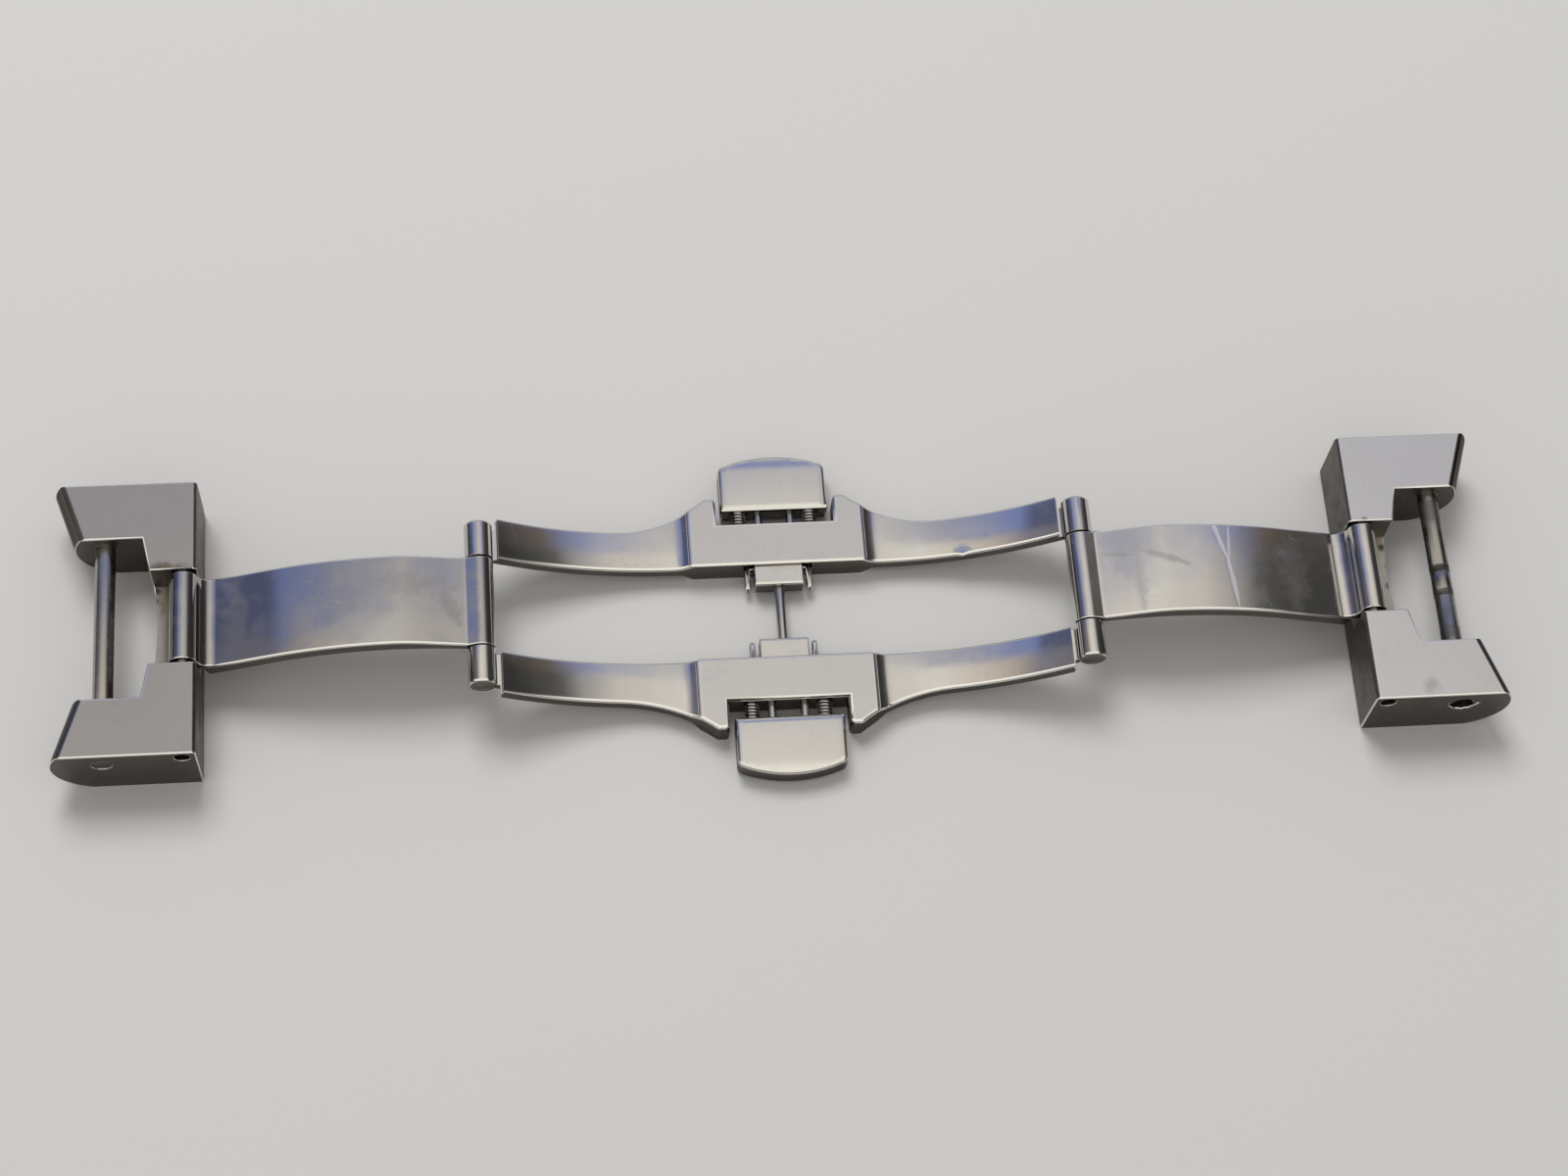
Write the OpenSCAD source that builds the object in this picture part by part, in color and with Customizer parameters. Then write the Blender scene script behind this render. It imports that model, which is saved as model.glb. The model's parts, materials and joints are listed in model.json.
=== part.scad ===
// Double-fold watch clasp with two push buttons, shown open and wrist side up.
// +X runs along the clasp, +Y across it, +Z up. The origin is on the table, in the middle.

/* [Frame] */
// Distance between the two hinge axes
hinge_span = 41.4; // [41:0.1:43]
// Height of the hinge axes above the table
hinge_h = 5; // [4.8:0.1:5.4]
// Radius of the hinge knuckles
knuckle_r = 0.97; // [0.9:0.01:1.05]
// Length of each rail knuckle along its pin
knuckle_len = 2.67; // [2.4:0.05:2.8]
// Radius of the rounded rim at a rail knuckle's outer end
knuckle_rim = 0.24; // [0.1:0.02:0.3]
// Radius of the hinge pins
hinge_pin_r = 0.5; // [0.4:0.02:0.6]
// Chamfer at the ends of the pins
pin_chamfer = 0.08; // [0.04:0.01:0.12]
// Distance between the two rails
bay_w = 6.98; // [6.6:0.02:7.2]
// Width of a rail strip, from its inner edge to its outer edge
strip_w = 2.94; // [2.8:0.02:3.1]
// Thickness of a rail strip
strip_t = 1.2; // [1:0.05:1.4]
// Distance from the middle of the clasp to the lowest point of the strips
strip_low_x = 7.2; // [7:0.1:8]
// Height of a strip's top face at its lowest point
strip_low_h = 1.8; // [1.7:0.05:1.9]
// Depth of the hinge axes under the strips' top face
hinge_sink = 0.8; // [0.7:0.05:0.9]
// Width of the groove between a strip's end and its knuckle
groove_w = 0.35; // [0.25:0.05:0.45]
// Depth of the groove's floor under the hinge axis
groove_drop = 0.45; // [0.3:0.05:0.6]
// Radius of the concave flare from a strip to its prong
flare_r = 10.5; // [9.5:0.5:12]

/* [Housing] */
// Length of the button housing in the middle of each rail
housing_len = 12.12; // [11.6:0.1:12.4]
// Height of the housing
housing_h = 2.2; // [2.15:0.05:2.4]
// Length of the slope at each end of the housing
end_slope = 0.75; // [0.5:0.05:1]
// Depth of the housing, from the rail's inner edge to the floor of the recess
housing_d = 3.18; // [3:0.05:3.4]
// Width of the recess between the two prongs
recess_w = 8.24; // [8:0.05:8.5]
// Reach of the prongs past the floor of the recess
prong_len = 2.01; // [1.7:0.05:2.3]
// Radius of the prongs' rounded corners
prong_r = 0.35; // [0.2:0.05:0.45]

/* [Buttons] */
// Travel of each button
button_travel = 1; // [0.6:0.1:1]
// Width of a button cap
cap_w = 7.52; // [7:0.05:7.7]
// Depth of a button cap, from its inner face to the top of its curved nose
cap_d = 4.24; // [3.8:0.05:4.6]
// Height of a button cap
cap_h = 1.7; // [1.6:0.05:1.8]
// Radius of the curved nose of a cap
nose_r = 9.3; // [8.5:0.1:12]
// Radius of a cap's corners, seen from above
cap_corner_r = 0.5; // [0.2:0.05:0.8]
// Width of the bevel round a cap's top
cap_bevel = 0.22; // [0.1:0.02:0.3]
// Height of the rods' axes above the table
rod_h = 1.1; // [1.05:0.01:1.15]
// Radius of the guide pins that join cap and catch
guide_r = 0.3; // [0.25:0.01:0.34]
// Distance between the two guide pins of a button
guide_gap = 2.26; // [2.1:0.02:2.4]
// Depth to which a guide pin is held in its cap
guide_hold = 1.6; // [1.2:0.1:2]

/* [Springs] */
// Outer diameter of the coil springs
spring_d = 1.05; // [0.95:0.01:1.1]
// Diameter of the spring wire
wire_d = 0.24; // [0.18:0.01:0.25]
// Number of turns in a spring
spring_turns = 5.6; // [4:0.1:5.7]
// Distance between the two springs of a button
spring_gap = 5; // [4.8:0.05:5.3]
// Depth of the spring's pocket in the housing
pocket_in_housing = 1.45; // [1.3:0.05:1.6]
// Depth of the spring's pocket in the cap
pocket_in_cap = 1.5; // [1.4:0.05:2]

/* [Catches] */
// Width of the tab in the middle of a catch
tab_w = 3.4; // [3.2:0.05:3.6]
// Height of the catches above the table
catch_h = 0.58; // [0.56:0.01:0.62]
// Height of a tab, from its underside to its top face
tab_t = 1.32; // [1.1:0.02:1.34]
// Reach of a tab past the rail's inner edge
tab_reach = 1.44; // [1.2:0.02:1.6]
// Gap between a tab and the ear beside it
ear_gap = 0.27; // [0.2:0.01:0.3]
// Thickness of an ear
ear_w = 0.38; // [0.3:0.01:0.4]
// Height of an ear
ear_t = 0.63; // [0.5:0.01:0.7]
// Reach of an ear past the rail's inner edge
ear_reach = 1.55; // [1.3:0.05:1.7]
// Depth of a catch inside its housing
catch_d = 1.36; // [1.25:0.02:1.36]
// Wall of a catch in front of its guide pins
catch_wall = 0.34; // [0.3:0.02:0.5]
// Radius of the rod that crosses the bay and guides both catches
cross_rod_r = 0.36; // [0.3:0.01:0.4]
// Depth to which the cross rod is pressed into each housing
cross_rod_hold = 1.3; // [1:0.05:1.5]

/* [Arms] */
// Thickness of an arm's plate
arm_t = 1.2; // [1:0.05:1.3]
// Depth to which a plate's outer face sinks into its knuckle
knuckle_sink = 0.05; // [0.03:0.01:0.1]
// Radius of the barrel at the link end of an arm
barrel_r = 0.95; // [0.9:0.01:1]
// Radius of the hollow between an arm's plate and its barrel
neck_r = 0.9; // [0.85:0.01:0.95]
// Depth to which that hollow cuts into the barrel
neck_sink = 0.02; // [0.01:0.01:0.04]
// Height of the folded arm's outer face above the table
folded_h = 0.35; // [0.3:0.01:0.4]
// Distance from the middle to the end of the folded plate
folded_end_x = 2.5; // [2.48:0.01:2.6]
// Height of the folded neck's inner corner above the table
folded_neck_h = 0.42; // [0.38:0.01:0.44]

/* [End links] */
// Width of the end links and of the bracelet
link_w = 20; // [19:0.1:21]
// Thickness of an end link
link_t = 5.4; // [5.2:0.1:5.8]
// Distance from the barrel's axis to an end link's inner end
link_inset = 0.95; // [0.9:0.01:1]
// Depth of the barrel's axis under the link's wrist face
barrel_drop = 0.8; // [0.75:0.01:0.9]
// Distance between the two end links when the clasp is shut
shut_gap = 1.35; // [1.25:0.05:1.6]
// Width of the pocket that takes the barrel
pocket_w = 6.8; // [6.7:0.02:7.2]
// Distance from the barrel's axis to the outer end of the pocket
pocket_end = 2.22; // [2.1:0.02:2.4]
// Width of the notch that takes the next link
notch_w = 11.66; // [11:0.05:12]
// Distance from the barrel's axis to the floor of the notch
notch_floor = 2.71; // [2.5:0.02:2.9]
// Distance from the barrel's axis to the outermost tip of a lug
lug_len = 8.84; // [8.6:0.05:9.2]
// Slant of a lug's outer end across its width
lug_slant = 1.4; // [1:0.05:1.6]
// Radius of a lug's rounded outer end
lug_end_r = 3.6; // [3.45:0.05:3.8]
// Height of the middle of that rounded end
lug_mid_h = 3.4; // [3.3:0.05:3.5]
// Height of the web under the barrel
web_h = 2.65; // [2.5:0.05:2.7]
// Depth of the web's hollowed outer edge
web_hollow = 0.25; // [0.15:0.05:0.35]
// Radius of the trough in the web under the barrel
trough_r = 2.3; // [2.2:0.05:2.5]
// Radius of the rounded inner edges of a link
link_edge_r = 0.3; // [0.2:0.02:0.35]
// Distance from the barrel's axis to the link pin
link_pin_x = 5.34; // [5.2:0.02:5.6]
// Height of the link pin's axis above the table
link_pin_h = 3.9; // [3.7:0.05:4.1]
// Radius of the link pins
link_pin_r = 0.7; // [0.6:0.02:0.8]
// Radius of the barrel pins
barrel_pin_r = 0.53; // [0.4:0.01:0.55]
// Depth of the barrel pins' ends inside the link's side faces
barrel_pin_inset = 0.9; // [0.5:0.1:1.4]
// Depth of the link pins' ends inside the link's side faces
link_pin_inset = 0.45; // [0.3:0.05:1]

/* [Fits] */
// Radial clearance where a pin or a rod turns or slides
running_gap = 0.03; // [0.02:0.01:0.04]
// Gap at each side between an arm's plate and the rails
arm_side_gap = 0.24; // [0.2:0.01:0.3]
// Gap at each side between an arm's knuckle and the rail knuckles
knuckle_gap = 0.1; // [0.08:0.01:0.14]
// Gap at each side between a barrel and its pocket
barrel_side_gap = 0.22; // [0.15:0.01:0.3]
// Gap between the shut links and the underside of the frame
shut_clear = 0.1; // [0.1:0.01:0.14]
// Gap left between a pressed button and the floor of its recess
stop_gap = 0.13; // [0.1:0.01:0.2]
// Gap round a catch in its cavity
catch_gap = 0.06; // [0.05:0.01:0.08]
// Gap round a spring in its pockets
spring_clear = 0.08; // [0.05:0.01:0.1]
// Gap at each end of a spring
spring_end_gap = 0.02; // [0.01:0.01:0.04]

/* [Hidden] */
$fn = 64;

steel = [0.77, 0.76, 0.74];
satin_steel = [0.70, 0.69, 0.67];
dark_steel = [0.50, 0.49, 0.48];
// Facets of the large arcs
fine = 180;
// How far the pieces of one solid sink into each other
eps = 0.01;
// How far a cut runs past the face that it opens
over = 1;
// Height of what is drawn in plan and trimmed afterwards
tall = 4 * link_t;

hinge_x = hinge_span / 2;
rail_y = bay_w / 2;
strip_out_y = rail_y + strip_w;
arm_y = rail_y - arm_side_gap;
rail_knuckle_y = arm_y + knuckle_gap;
knuckle_end_y = rail_knuckle_y + knuckle_len;

// The strips' arc passes hinge_sink above the hinge axis and is level at strip_low_x.
low_dx = hinge_x - strip_low_x;
low_dz = strip_low_h - hinge_h;
strip_r = (low_dx * low_dx + low_dz * low_dz - hinge_sink * hinge_sink)
    / (2 * (hinge_sink - low_dz));
strip_centre_h = strip_low_h + strip_r;
groove_r = knuckle_r + groove_w;

housing_x = housing_len / 2;
recess_y = rail_y + housing_d;
prong_y = recess_y + prong_len;
recess_x = recess_w / 2;

// The flare's circle touches the strip's outer edge and the prong's outer corner.
flare_y = strip_out_y + flare_r;
prong_corner_x = recess_x + 2 * prong_r;
prong_corner_y = prong_y - prong_r;
flare_x = prong_corner_x
    + sqrt(pow(flare_r + prong_r, 2) - pow(flare_y - prong_corner_y, 2));
touch_share = prong_r / (flare_r + prong_r);
touch_x = prong_corner_x + (flare_x - prong_corner_x) * touch_share;
touch_y = prong_corner_y + (flare_y - prong_corner_y) * touch_share;

cap_y = recess_y + button_travel + stop_gap;
cap_z = rod_h - cap_h / 2;
spring_pocket_r = spring_d / 2 + spring_clear;
pocket_floor_y = recess_y - pocket_in_housing;
spring_y0 = pocket_floor_y + spring_end_gap;
spring_y1 = cap_y + pocket_in_cap - spring_end_gap;

tab_x = tab_w / 2;
ear_in_x = tab_x + ear_gap;
ear_out_x = ear_in_x + ear_w;
catch_y = rail_y + catch_d;
cavity_y = catch_y + catch_gap / 2;
cross_rod_y = cavity_y + cross_rod_hold;
guide_y0 = rail_y + catch_wall;
guide_y1 = cap_y + guide_hold;

// Shut, each barrel lies by the middle and the links lie under the frame.
barrel_h = link_t - barrel_drop;
shut_x = shut_gap / 2 + link_inset;
shut_h = -shut_clear - barrel_drop;
arm_len = norm([hinge_x - shut_x, hinge_h - shut_h]);
barrel_x = hinge_x + sqrt(pow(arm_len, 2) - pow(hinge_h - barrel_h, 2));
open_angle = atan2(barrel_h - hinge_h, barrel_x - hinge_x);
shut_angle = atan2(shut_h - hinge_h, shut_x - hinge_x);
fold_angle = open_angle - shut_angle;

// The folded arm's outer face is an arc, level at strip_low_x, that ends in its knuckle.
// Its radius is rounded to a hundredth, so that arc and plate meet exactly.
fold_dz = hinge_h - folded_h;
arc_end_r = knuckle_r - knuckle_sink;
arm_r = round(100 * (low_dx * low_dx + fold_dz * fold_dz - arc_end_r * arc_end_r)
    / (2 * (fold_dz - arc_end_r))) / 100;
arm_centre = [strip_low_x, folded_h + arm_r];
neck_h = folded_h - neck_r;
neck_x = shut_x + sqrt(pow(barrel_r + neck_r - neck_sink, 2) - pow(neck_h - shut_h, 2));

barrel_y = pocket_w / 2 - barrel_side_gap;
barrel_pin_y = link_w / 2 - barrel_pin_inset;
link_pin_y = link_w / 2 - link_pin_inset;
lug_slant_angle = atan2(lug_slant, (link_w - notch_w) / 2);
pocket_x = pocket_w / 2;
web_edge_r = (pow(pocket_x, 2) + pow(web_hollow, 2)) / (2 * web_hollow);

spring_r = (spring_d - wire_d) / 2;
// Rings in one turn of a spring, and sides of its wire
ring_count = 8;
ring_sides = 6;
spring_steps = round(spring_turns * ring_count);
spring_pitch = (spring_y1 - spring_y0 - wire_d) / (spring_steps / ring_count);

// A rectangle with rounded corners, from the origin to [w, h].
module rounded_rect(w, h, r) {
    translate([r, 0]) square([w - 2 * r, h]);
    translate([0, r]) square([w, h - 2 * r]);
    for (x = [r, w - r], y = [r, h - r]) translate([x, y]) circle(r);
}

// A round rod along +Y from y0 to y1.
module rod_y(r, y0, y1) {
    translate([0, y0, 0]) rotate([-90, 0, 0]) cylinder(r = r, h = y1 - y0);
}

// A pin along Y, centred on the clasp, with a small chamfer at each end.
module pin_y(r, half) {
    rod_y(r, -half + pin_chamfer, half - pin_chamfer);
    for (s = [-1, 1]) {
        translate([0, s * (half - pin_chamfer), 0]) rotate([-90 * s, 0, 0])
            cylinder(r1 = r, r2 = r - pin_chamfer, h = pin_chamfer);
    }
}

// A knuckle along +Y from y0 to y1 whose outer end has a rounded rim.
module knuckle(r, y0, y1, rim) {
    translate([0, y0, 0]) rotate([-90, 0, 0]) rotate_extrude() {
        square([r, y1 - y0 - rim]);
        square([r - rim, y1 - y0]);
        translate([r - rim, y1 - y0 - rim]) intersection() {
            circle(rim);
            square(rim);
        }
    }
}

// A side view drawn in X and Z, made solid from y0 to y1.
module side_slab(y0, y1) {
    translate([0, y1, 0]) rotate([90, 0, 0]) linear_extrude(y1 - y0) children();
}

// The right half of a rail seen from above.
module rail_plan_half() {
    strip_end_x = hinge_x - knuckle_r - groove_w / 2;
    translate([-eps, rail_y]) square([strip_end_x + eps, strip_w]);
    translate([strip_end_x - eps, rail_y])
        square([hinge_x - strip_end_x + eps, knuckle_end_y - knuckle_rim - rail_y]);
    translate([-eps, rail_y]) square([recess_x + eps, housing_d]);
    translate([recess_x, rail_y]) square([prong_corner_x - recess_x, prong_corner_y - rail_y]);
    translate([recess_x + prong_r, rail_y]) square([prong_r, prong_y - rail_y]);
    for (x = [recess_x + prong_r, prong_corner_x])
        translate([x, prong_corner_y]) circle(prong_r);
    difference() {
        polygon([
            [prong_corner_x - eps, rail_y], [flare_x, rail_y], [flare_x, strip_out_y],
            [touch_x, touch_y], [prong_corner_x - eps, prong_corner_y]
        ]);
        translate([flare_x, flare_y]) circle(flare_r, $fn = fine);
    }
}

// The right half of a rail seen from the side: housing, slope and curved strip.
module rail_side_half() {
    slope_x = housing_x + end_slope;
    slope_h = strip_centre_h - sqrt(pow(strip_r, 2) - pow(strip_low_x - slope_x, 2));
    polygon([
        [-eps, 0], [housing_x, 0], [slope_x + strip_t / 2, slope_h - strip_t / 2],
        [slope_x + end_slope / 2, slope_h - (housing_h - slope_h) / 2],
        [housing_x, housing_h], [-eps, housing_h]
    ]);
    intersection() {
        translate([strip_low_x, strip_centre_h]) difference() {
            circle(strip_r + strip_t, $fn = fine);
            circle(strip_r, $fn = fine);
        }
        translate([housing_x - over, 0]) square([hinge_x - housing_x + over, hinge_h + knuckle_r]);
    }
}

// The far rail: two outer knuckles, two curved strips and the button housing.
module side_rail() {
    color(steel) difference() {
        intersection() {
            linear_extrude(tall) {
                rail_plan_half();
                mirror([1, 0]) rail_plan_half();
            }
            side_slab(0, tall) {
                rail_side_half();
                mirror([1, 0]) rail_side_half();
            }
        }
        for (s = [-1, 1]) translate([s * hinge_x, 0, hinge_h]) groove_cut();
        housing_cuts();
    }
    color(steel) for (s = [-1, 1]) {
        translate([s * hinge_x, 0, hinge_h]) difference() {
            knuckle(knuckle_r, rail_knuckle_y, knuckle_end_y, knuckle_rim);
            rod_y(hinge_pin_r, rail_y - strip_w, strip_out_y + strip_w);
        }
    }
}

// What is cut from a strip's end round its knuckle.
module groove_cut() {
    difference() {
        rod_y(groove_r, rail_y - over, strip_out_y + over);
        translate([-groove_r - over, rail_y - 2 * over, -groove_r - over])
            cube([2 * (groove_r + over), strip_w + 4 * over, groove_r + over - groove_drop]);
    }
    rod_y(knuckle_r - eps, rail_y - over, strip_out_y + over);
}

// The catch's cavity, the rod bores and the spring pockets of the far housing.
module housing_cuts() {
    translate([-ear_out_x - catch_gap, rail_y - over, catch_h - catch_gap])
        cube([2 * (ear_out_x + catch_gap), cavity_y - rail_y + over, tab_t + 2 * catch_gap]);
    translate([0, 0, rod_h]) {
        rod_y(cross_rod_r, rail_y, cross_rod_y);
        for (s = [-1, 1]) {
            translate([s * guide_gap / 2, 0, 0])
                rod_y(guide_r + running_gap, rail_y, recess_y + prong_len);
            translate([s * spring_gap / 2, 0, 0])
                rod_y(spring_pocket_r, pocket_floor_y, recess_y + prong_len);
        }
    }
}

// The far button's cap, seen from above.
module cap_plan() {
    nose_y = cap_y + cap_d - nose_r;
    side_x = cap_w / 2 - cap_corner_r;
    corner_y = nose_y + sqrt(pow(nose_r - cap_corner_r, 2) - pow(side_x, 2));
    intersection() {
        translate([-cap_w / 2, cap_y]) square([cap_w, corner_y - cap_y]);
        translate([0, nose_y]) circle(nose_r, $fn = fine);
    }
    intersection() {
        translate([-side_x, cap_y]) square([2 * side_x, cap_d]);
        translate([0, nose_y]) circle(nose_r, $fn = fine);
    }
    for (s = [-1, 1]) translate([s * side_x, corner_y]) circle(cap_corner_r);
}

// The far button's cap with bevelled top edges and bores for its pins and springs.
module button_cap() {
    nose_y = cap_y + cap_d - nose_r;
    top_z = cap_z + cap_h;
    color(satin_steel) difference() {
        translate([0, 0, cap_z]) linear_extrude(cap_h) cap_plan();
        translate([0, cap_y, top_z]) rotate([45, 0, 0])
            cube([2 * cap_w, cap_bevel * sqrt(2), cap_bevel * sqrt(2)], center = true);
        for (s = [-1, 1]) translate([s * cap_w / 2, cap_y, top_z]) rotate([0, 45, 0])
            cube([cap_bevel * sqrt(2), 4 * cap_d, cap_bevel * sqrt(2)], center = true);
        translate([0, nose_y, top_z - cap_bevel]) difference() {
            cylinder(r = 2 * nose_r, h = 2 * cap_bevel, $fn = fine);
            cylinder(r1 = nose_r, r2 = nose_r - 2 * cap_bevel, h = 2 * cap_bevel, $fn = fine);
        }
        translate([0, 0, rod_h]) for (s = [-1, 1]) {
            translate([s * guide_gap / 2, 0, 0]) rod_y(guide_r, cap_y - over, guide_y1);
            translate([s * spring_gap / 2, 0, 0])
                rod_y(spring_pocket_r, cap_y - over, cap_y + pocket_in_cap);
        }
    }
}

// The far catch: a tab and two lower ears on one sliding body.
module catch() {
    ear_tip_y = rail_y - ear_reach + ear_t / 2;
    color(satin_steel) difference() {
        union() {
            translate([-tab_x, rail_y - tab_reach, catch_h])
                cube([tab_w, tab_reach + catch_d, tab_t]);
            translate([-ear_out_x, rail_y + catch_gap, catch_h])
                cube([2 * ear_out_x, catch_d - catch_gap, ear_t]);
            for (x = [-ear_out_x, ear_in_x]) translate([x, 0, catch_h]) {
                translate([0, ear_tip_y, 0]) cube([ear_w, catch_y - ear_tip_y, ear_t]);
                translate([0, ear_tip_y, ear_t / 2]) rotate([0, 90, 0])
                    cylinder(r = ear_t / 2, h = ear_w);
            }
        }
        translate([0, 0, rod_h]) {
            rod_y(cross_rod_r + running_gap, 0, catch_y + over);
            for (s = [-1, 1]) translate([s * guide_gap / 2, 0, 0])
                rod_y(guide_r, guide_y0, catch_y + over);
        }
    }
}

// A guide pin of the far button, on side s.
module guide_pin(s) {
    color(dark_steel) translate([s * guide_gap / 2, 0, rod_h]) rod_y(guide_r, guide_y0, guide_y1);
}

// The middle line of a far spring, ring by ring, and the directions across the wire.
function spring_point(i) = let (a = 360 * i / ring_count)
    [spring_r * cos(a), spring_y0 + wire_d / 2 + spring_pitch * i / ring_count, spring_r * sin(a)];
function spring_dir(i) = let (v = spring_point(i + 0.5) - spring_point(i - 0.5)) v / norm(v);
function spring_ring(i) = let (
        a = 360 * i / ring_count,
        out = [cos(a), 0, sin(a)],
        side = cross(spring_dir(i), out)
    ) [for (k = [0 : ring_sides - 1]) let (b = 360 * k / ring_sides)
        spring_point(i) + wire_d / 2 * (cos(b) * out + sin(b) * side)];

spring_rings = [for (i = [0 : spring_steps]) spring_ring(i)];
spring_self_gap = min([
    for (i = [0 : spring_steps - ring_count + 2])
        for (j = [i + ring_count - 2 : min(i + ring_count + 2, spring_steps)])
            for (p = spring_rings[i]) for (q = spring_rings[j]) norm(p - q)
]);
echo(spring_least_gap_mm = spring_self_gap);

// One unbroken wire tube for a far spring, on side s.
module coil_spring(s) {
    last = spring_steps * ring_sides;
    walls = [for (i = [0 : spring_steps - 1]) for (k = [0 : ring_sides - 1])
        let (
            a = i * ring_sides + k,
            b = i * ring_sides + (k + 1) % ring_sides,
            c = a + ring_sides,
            d = b + ring_sides
        ) each [[a, c, b], [b, c, d]]];
    caps = [for (k = [1 : ring_sides - 2]) each [[0, k, k + 1], [last, last + k + 1, last + k]]];
    color(steel) translate([s * spring_gap / 2, 0, rod_h])
        polyhedron(points = [for (ring = spring_rings) each ring], faces = concat(walls, caps));
}

// The folded right arm seen from the side: plate, arc and knuckle.
module folded_plate() {
    hinge = [hinge_x, hinge_h];
    translate([folded_end_x, folded_h]) square([strip_low_x - folded_end_x, arm_t]);
    intersection() {
        translate(arm_centre) difference() {
            circle(arm_r, $fn = fine);
            circle(arm_r - arm_t, $fn = fine);
        }
        polygon([arm_centre, arm_centre - [0, 2 * arm_r], 2 * hinge - arm_centre]);
    }
    translate(hinge) circle(knuckle_r);
}

// The folded right arm's neck and barrel seen from the side.
module folded_neck() {
    difference() {
        polygon([
            [shut_x, shut_h], [shut_x, shut_h + barrel_r - eps],
            [folded_end_x - barrel_r / 2, folded_neck_h], [folded_end_x, folded_neck_h],
            [folded_end_x, folded_h + arm_t - eps], [neck_x, folded_h + arm_t - eps],
            [neck_x, neck_h]
        ]);
        translate([neck_x, neck_h]) circle(neck_r);
    }
    translate([shut_x, shut_h]) circle(barrel_r);
}

// The right arm as it lies when the clasp is shut.
module folded_arm() {
    side_slab(-arm_y, arm_y) folded_plate();
    side_slab(-barrel_y, barrel_y) folded_neck();
}

// The right arm, swung open about its hinge.
module arm() {
    color(steel) translate([hinge_x, 0, hinge_h]) rotate([0, -fold_angle, 0])
        translate([-hinge_x, 0, -hinge_h]) difference() {
            folded_arm();
            translate([hinge_x, 0, hinge_h])
                rod_y(hinge_pin_r + running_gap, -arm_y - over, arm_y + over);
            translate([shut_x, 0, shut_h])
                rod_y(barrel_pin_r + running_gap, -barrel_y - over, barrel_y + over);
        }
}

// The right end link seen from the side, out to x = len, with its rounded outer end.
module link_side(len) {
    in = barrel_x - link_inset;
    axis = barrel_x + len - lug_end_r;
    intersection() {
        union() {
            translate([in, 0]) rounded_rect(axis - in, link_t, link_edge_r);
            translate([axis - link_edge_r, 0]) square([link_edge_r, link_t]);
            translate([axis, lug_mid_h]) circle(lug_end_r);
        }
        translate([in, 0]) square([len + link_inset, link_t]);
    }
}

// The right end link, made of two slanted lugs, a body and a web under the barrel.
module end_link() {
    side_y = link_w / 2;
    notch_x = barrel_x + notch_floor;
    color(satin_steel) difference() {
        union() {
            side_slab(-side_y, side_y) intersection() {
                link_side(lug_len);
                translate([0, -over]) square([notch_x, link_t + 2 * over]);
            }
            for (s = [-1, 1]) scale([1, s, 1]) slanted_lug();
        }
        translate([0, 0, web_h]) linear_extrude(tall) link_opening();
        linear_extrude(tall, center = true) web_edge();
        translate([barrel_x, 0, barrel_h]) {
            rod_y(trough_r, -pocket_x, pocket_x);
            rod_y(barrel_pin_r, -side_y - over, side_y + over);
        }
        translate([barrel_x + link_pin_x, 0, link_pin_h])
            rod_y(link_pin_r, -side_y - over, side_y + over);
    }
}

// One lug of the right end link. Its rounded end runs along the slant.
module slanted_lug() {
    side_y = link_w / 2;
    start = barrel_x + notch_floor - over;
    intersection() {
        translate([start, notch_w / 2, 0]) cube([lug_len, side_y - notch_w / 2, link_t]);
        translate([barrel_x + lug_len, side_y, 0]) rotate([0, 0, -lug_slant_angle])
            translate([-barrel_x - lug_len, 0, 0]) side_slab(-2 * side_y, side_y)
                link_side(lug_len);
    }
}

// The stepped opening of an end link seen from above: barrel pocket, then notch.
module link_opening() {
    in = barrel_x - link_inset - over;
    out = barrel_x + 2 * lug_len;
    pocket_out = barrel_x + pocket_end;
    notch_in = barrel_x + notch_floor;
    polygon([
        [in, -pocket_x], [pocket_out, -pocket_x], [notch_in, -notch_w / 2],
        [out, -notch_w / 2], [out, notch_w / 2], [notch_in, notch_w / 2],
        [pocket_out, pocket_x], [in, pocket_x]
    ]);
}

// What the notch takes away beside the web, whose outer edge is hollow.
module web_edge() {
    pocket_out = barrel_x + pocket_end;
    intersection() {
        link_opening();
        union() {
            translate([pocket_out, -link_w]) square([link_w, 2 * link_w]);
            translate([pocket_out - web_hollow + web_edge_r, 0]) circle(web_edge_r, $fn = fine);
        }
    }
}

module far_side_rail() { side_rail(); }
module near_side_rail() { mirror([0, 1, 0]) side_rail(); }
module left_hinge_pin() { mirror([1, 0, 0]) right_hinge_pin(); }
module right_hinge_pin() {
    color(dark_steel) translate([hinge_x, 0, hinge_h]) pin_y(hinge_pin_r, knuckle_end_y - pin_chamfer);
}
module catch_guide_rod() {
    color(dark_steel) translate([0, 0, rod_h]) rod_y(cross_rod_r, -cross_rod_y, cross_rod_y);
}
module left_arm() { mirror([1, 0, 0]) arm(); }
module right_arm() { arm(); }
module left_barrel_pin() { mirror([1, 0, 0]) right_barrel_pin(); }
module right_barrel_pin() {
    color(dark_steel) translate([barrel_x, 0, barrel_h]) pin_y(barrel_pin_r, barrel_pin_y);
}
module left_end_link() { mirror([1, 0, 0]) end_link(); }
module right_end_link() { end_link(); }
module left_link_pin() { mirror([1, 0, 0]) right_link_pin(); }
module right_link_pin() {
    color(dark_steel) translate([barrel_x + link_pin_x, 0, link_pin_h]) pin_y(link_pin_r, link_pin_y);
}
module far_button_cap() { button_cap(); }
module near_button_cap() { mirror([0, 1, 0]) button_cap(); }
module far_catch() { catch(); }
module near_catch() { mirror([0, 1, 0]) catch(); }
module far_left_guide_pin() { guide_pin(-1); }
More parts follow.
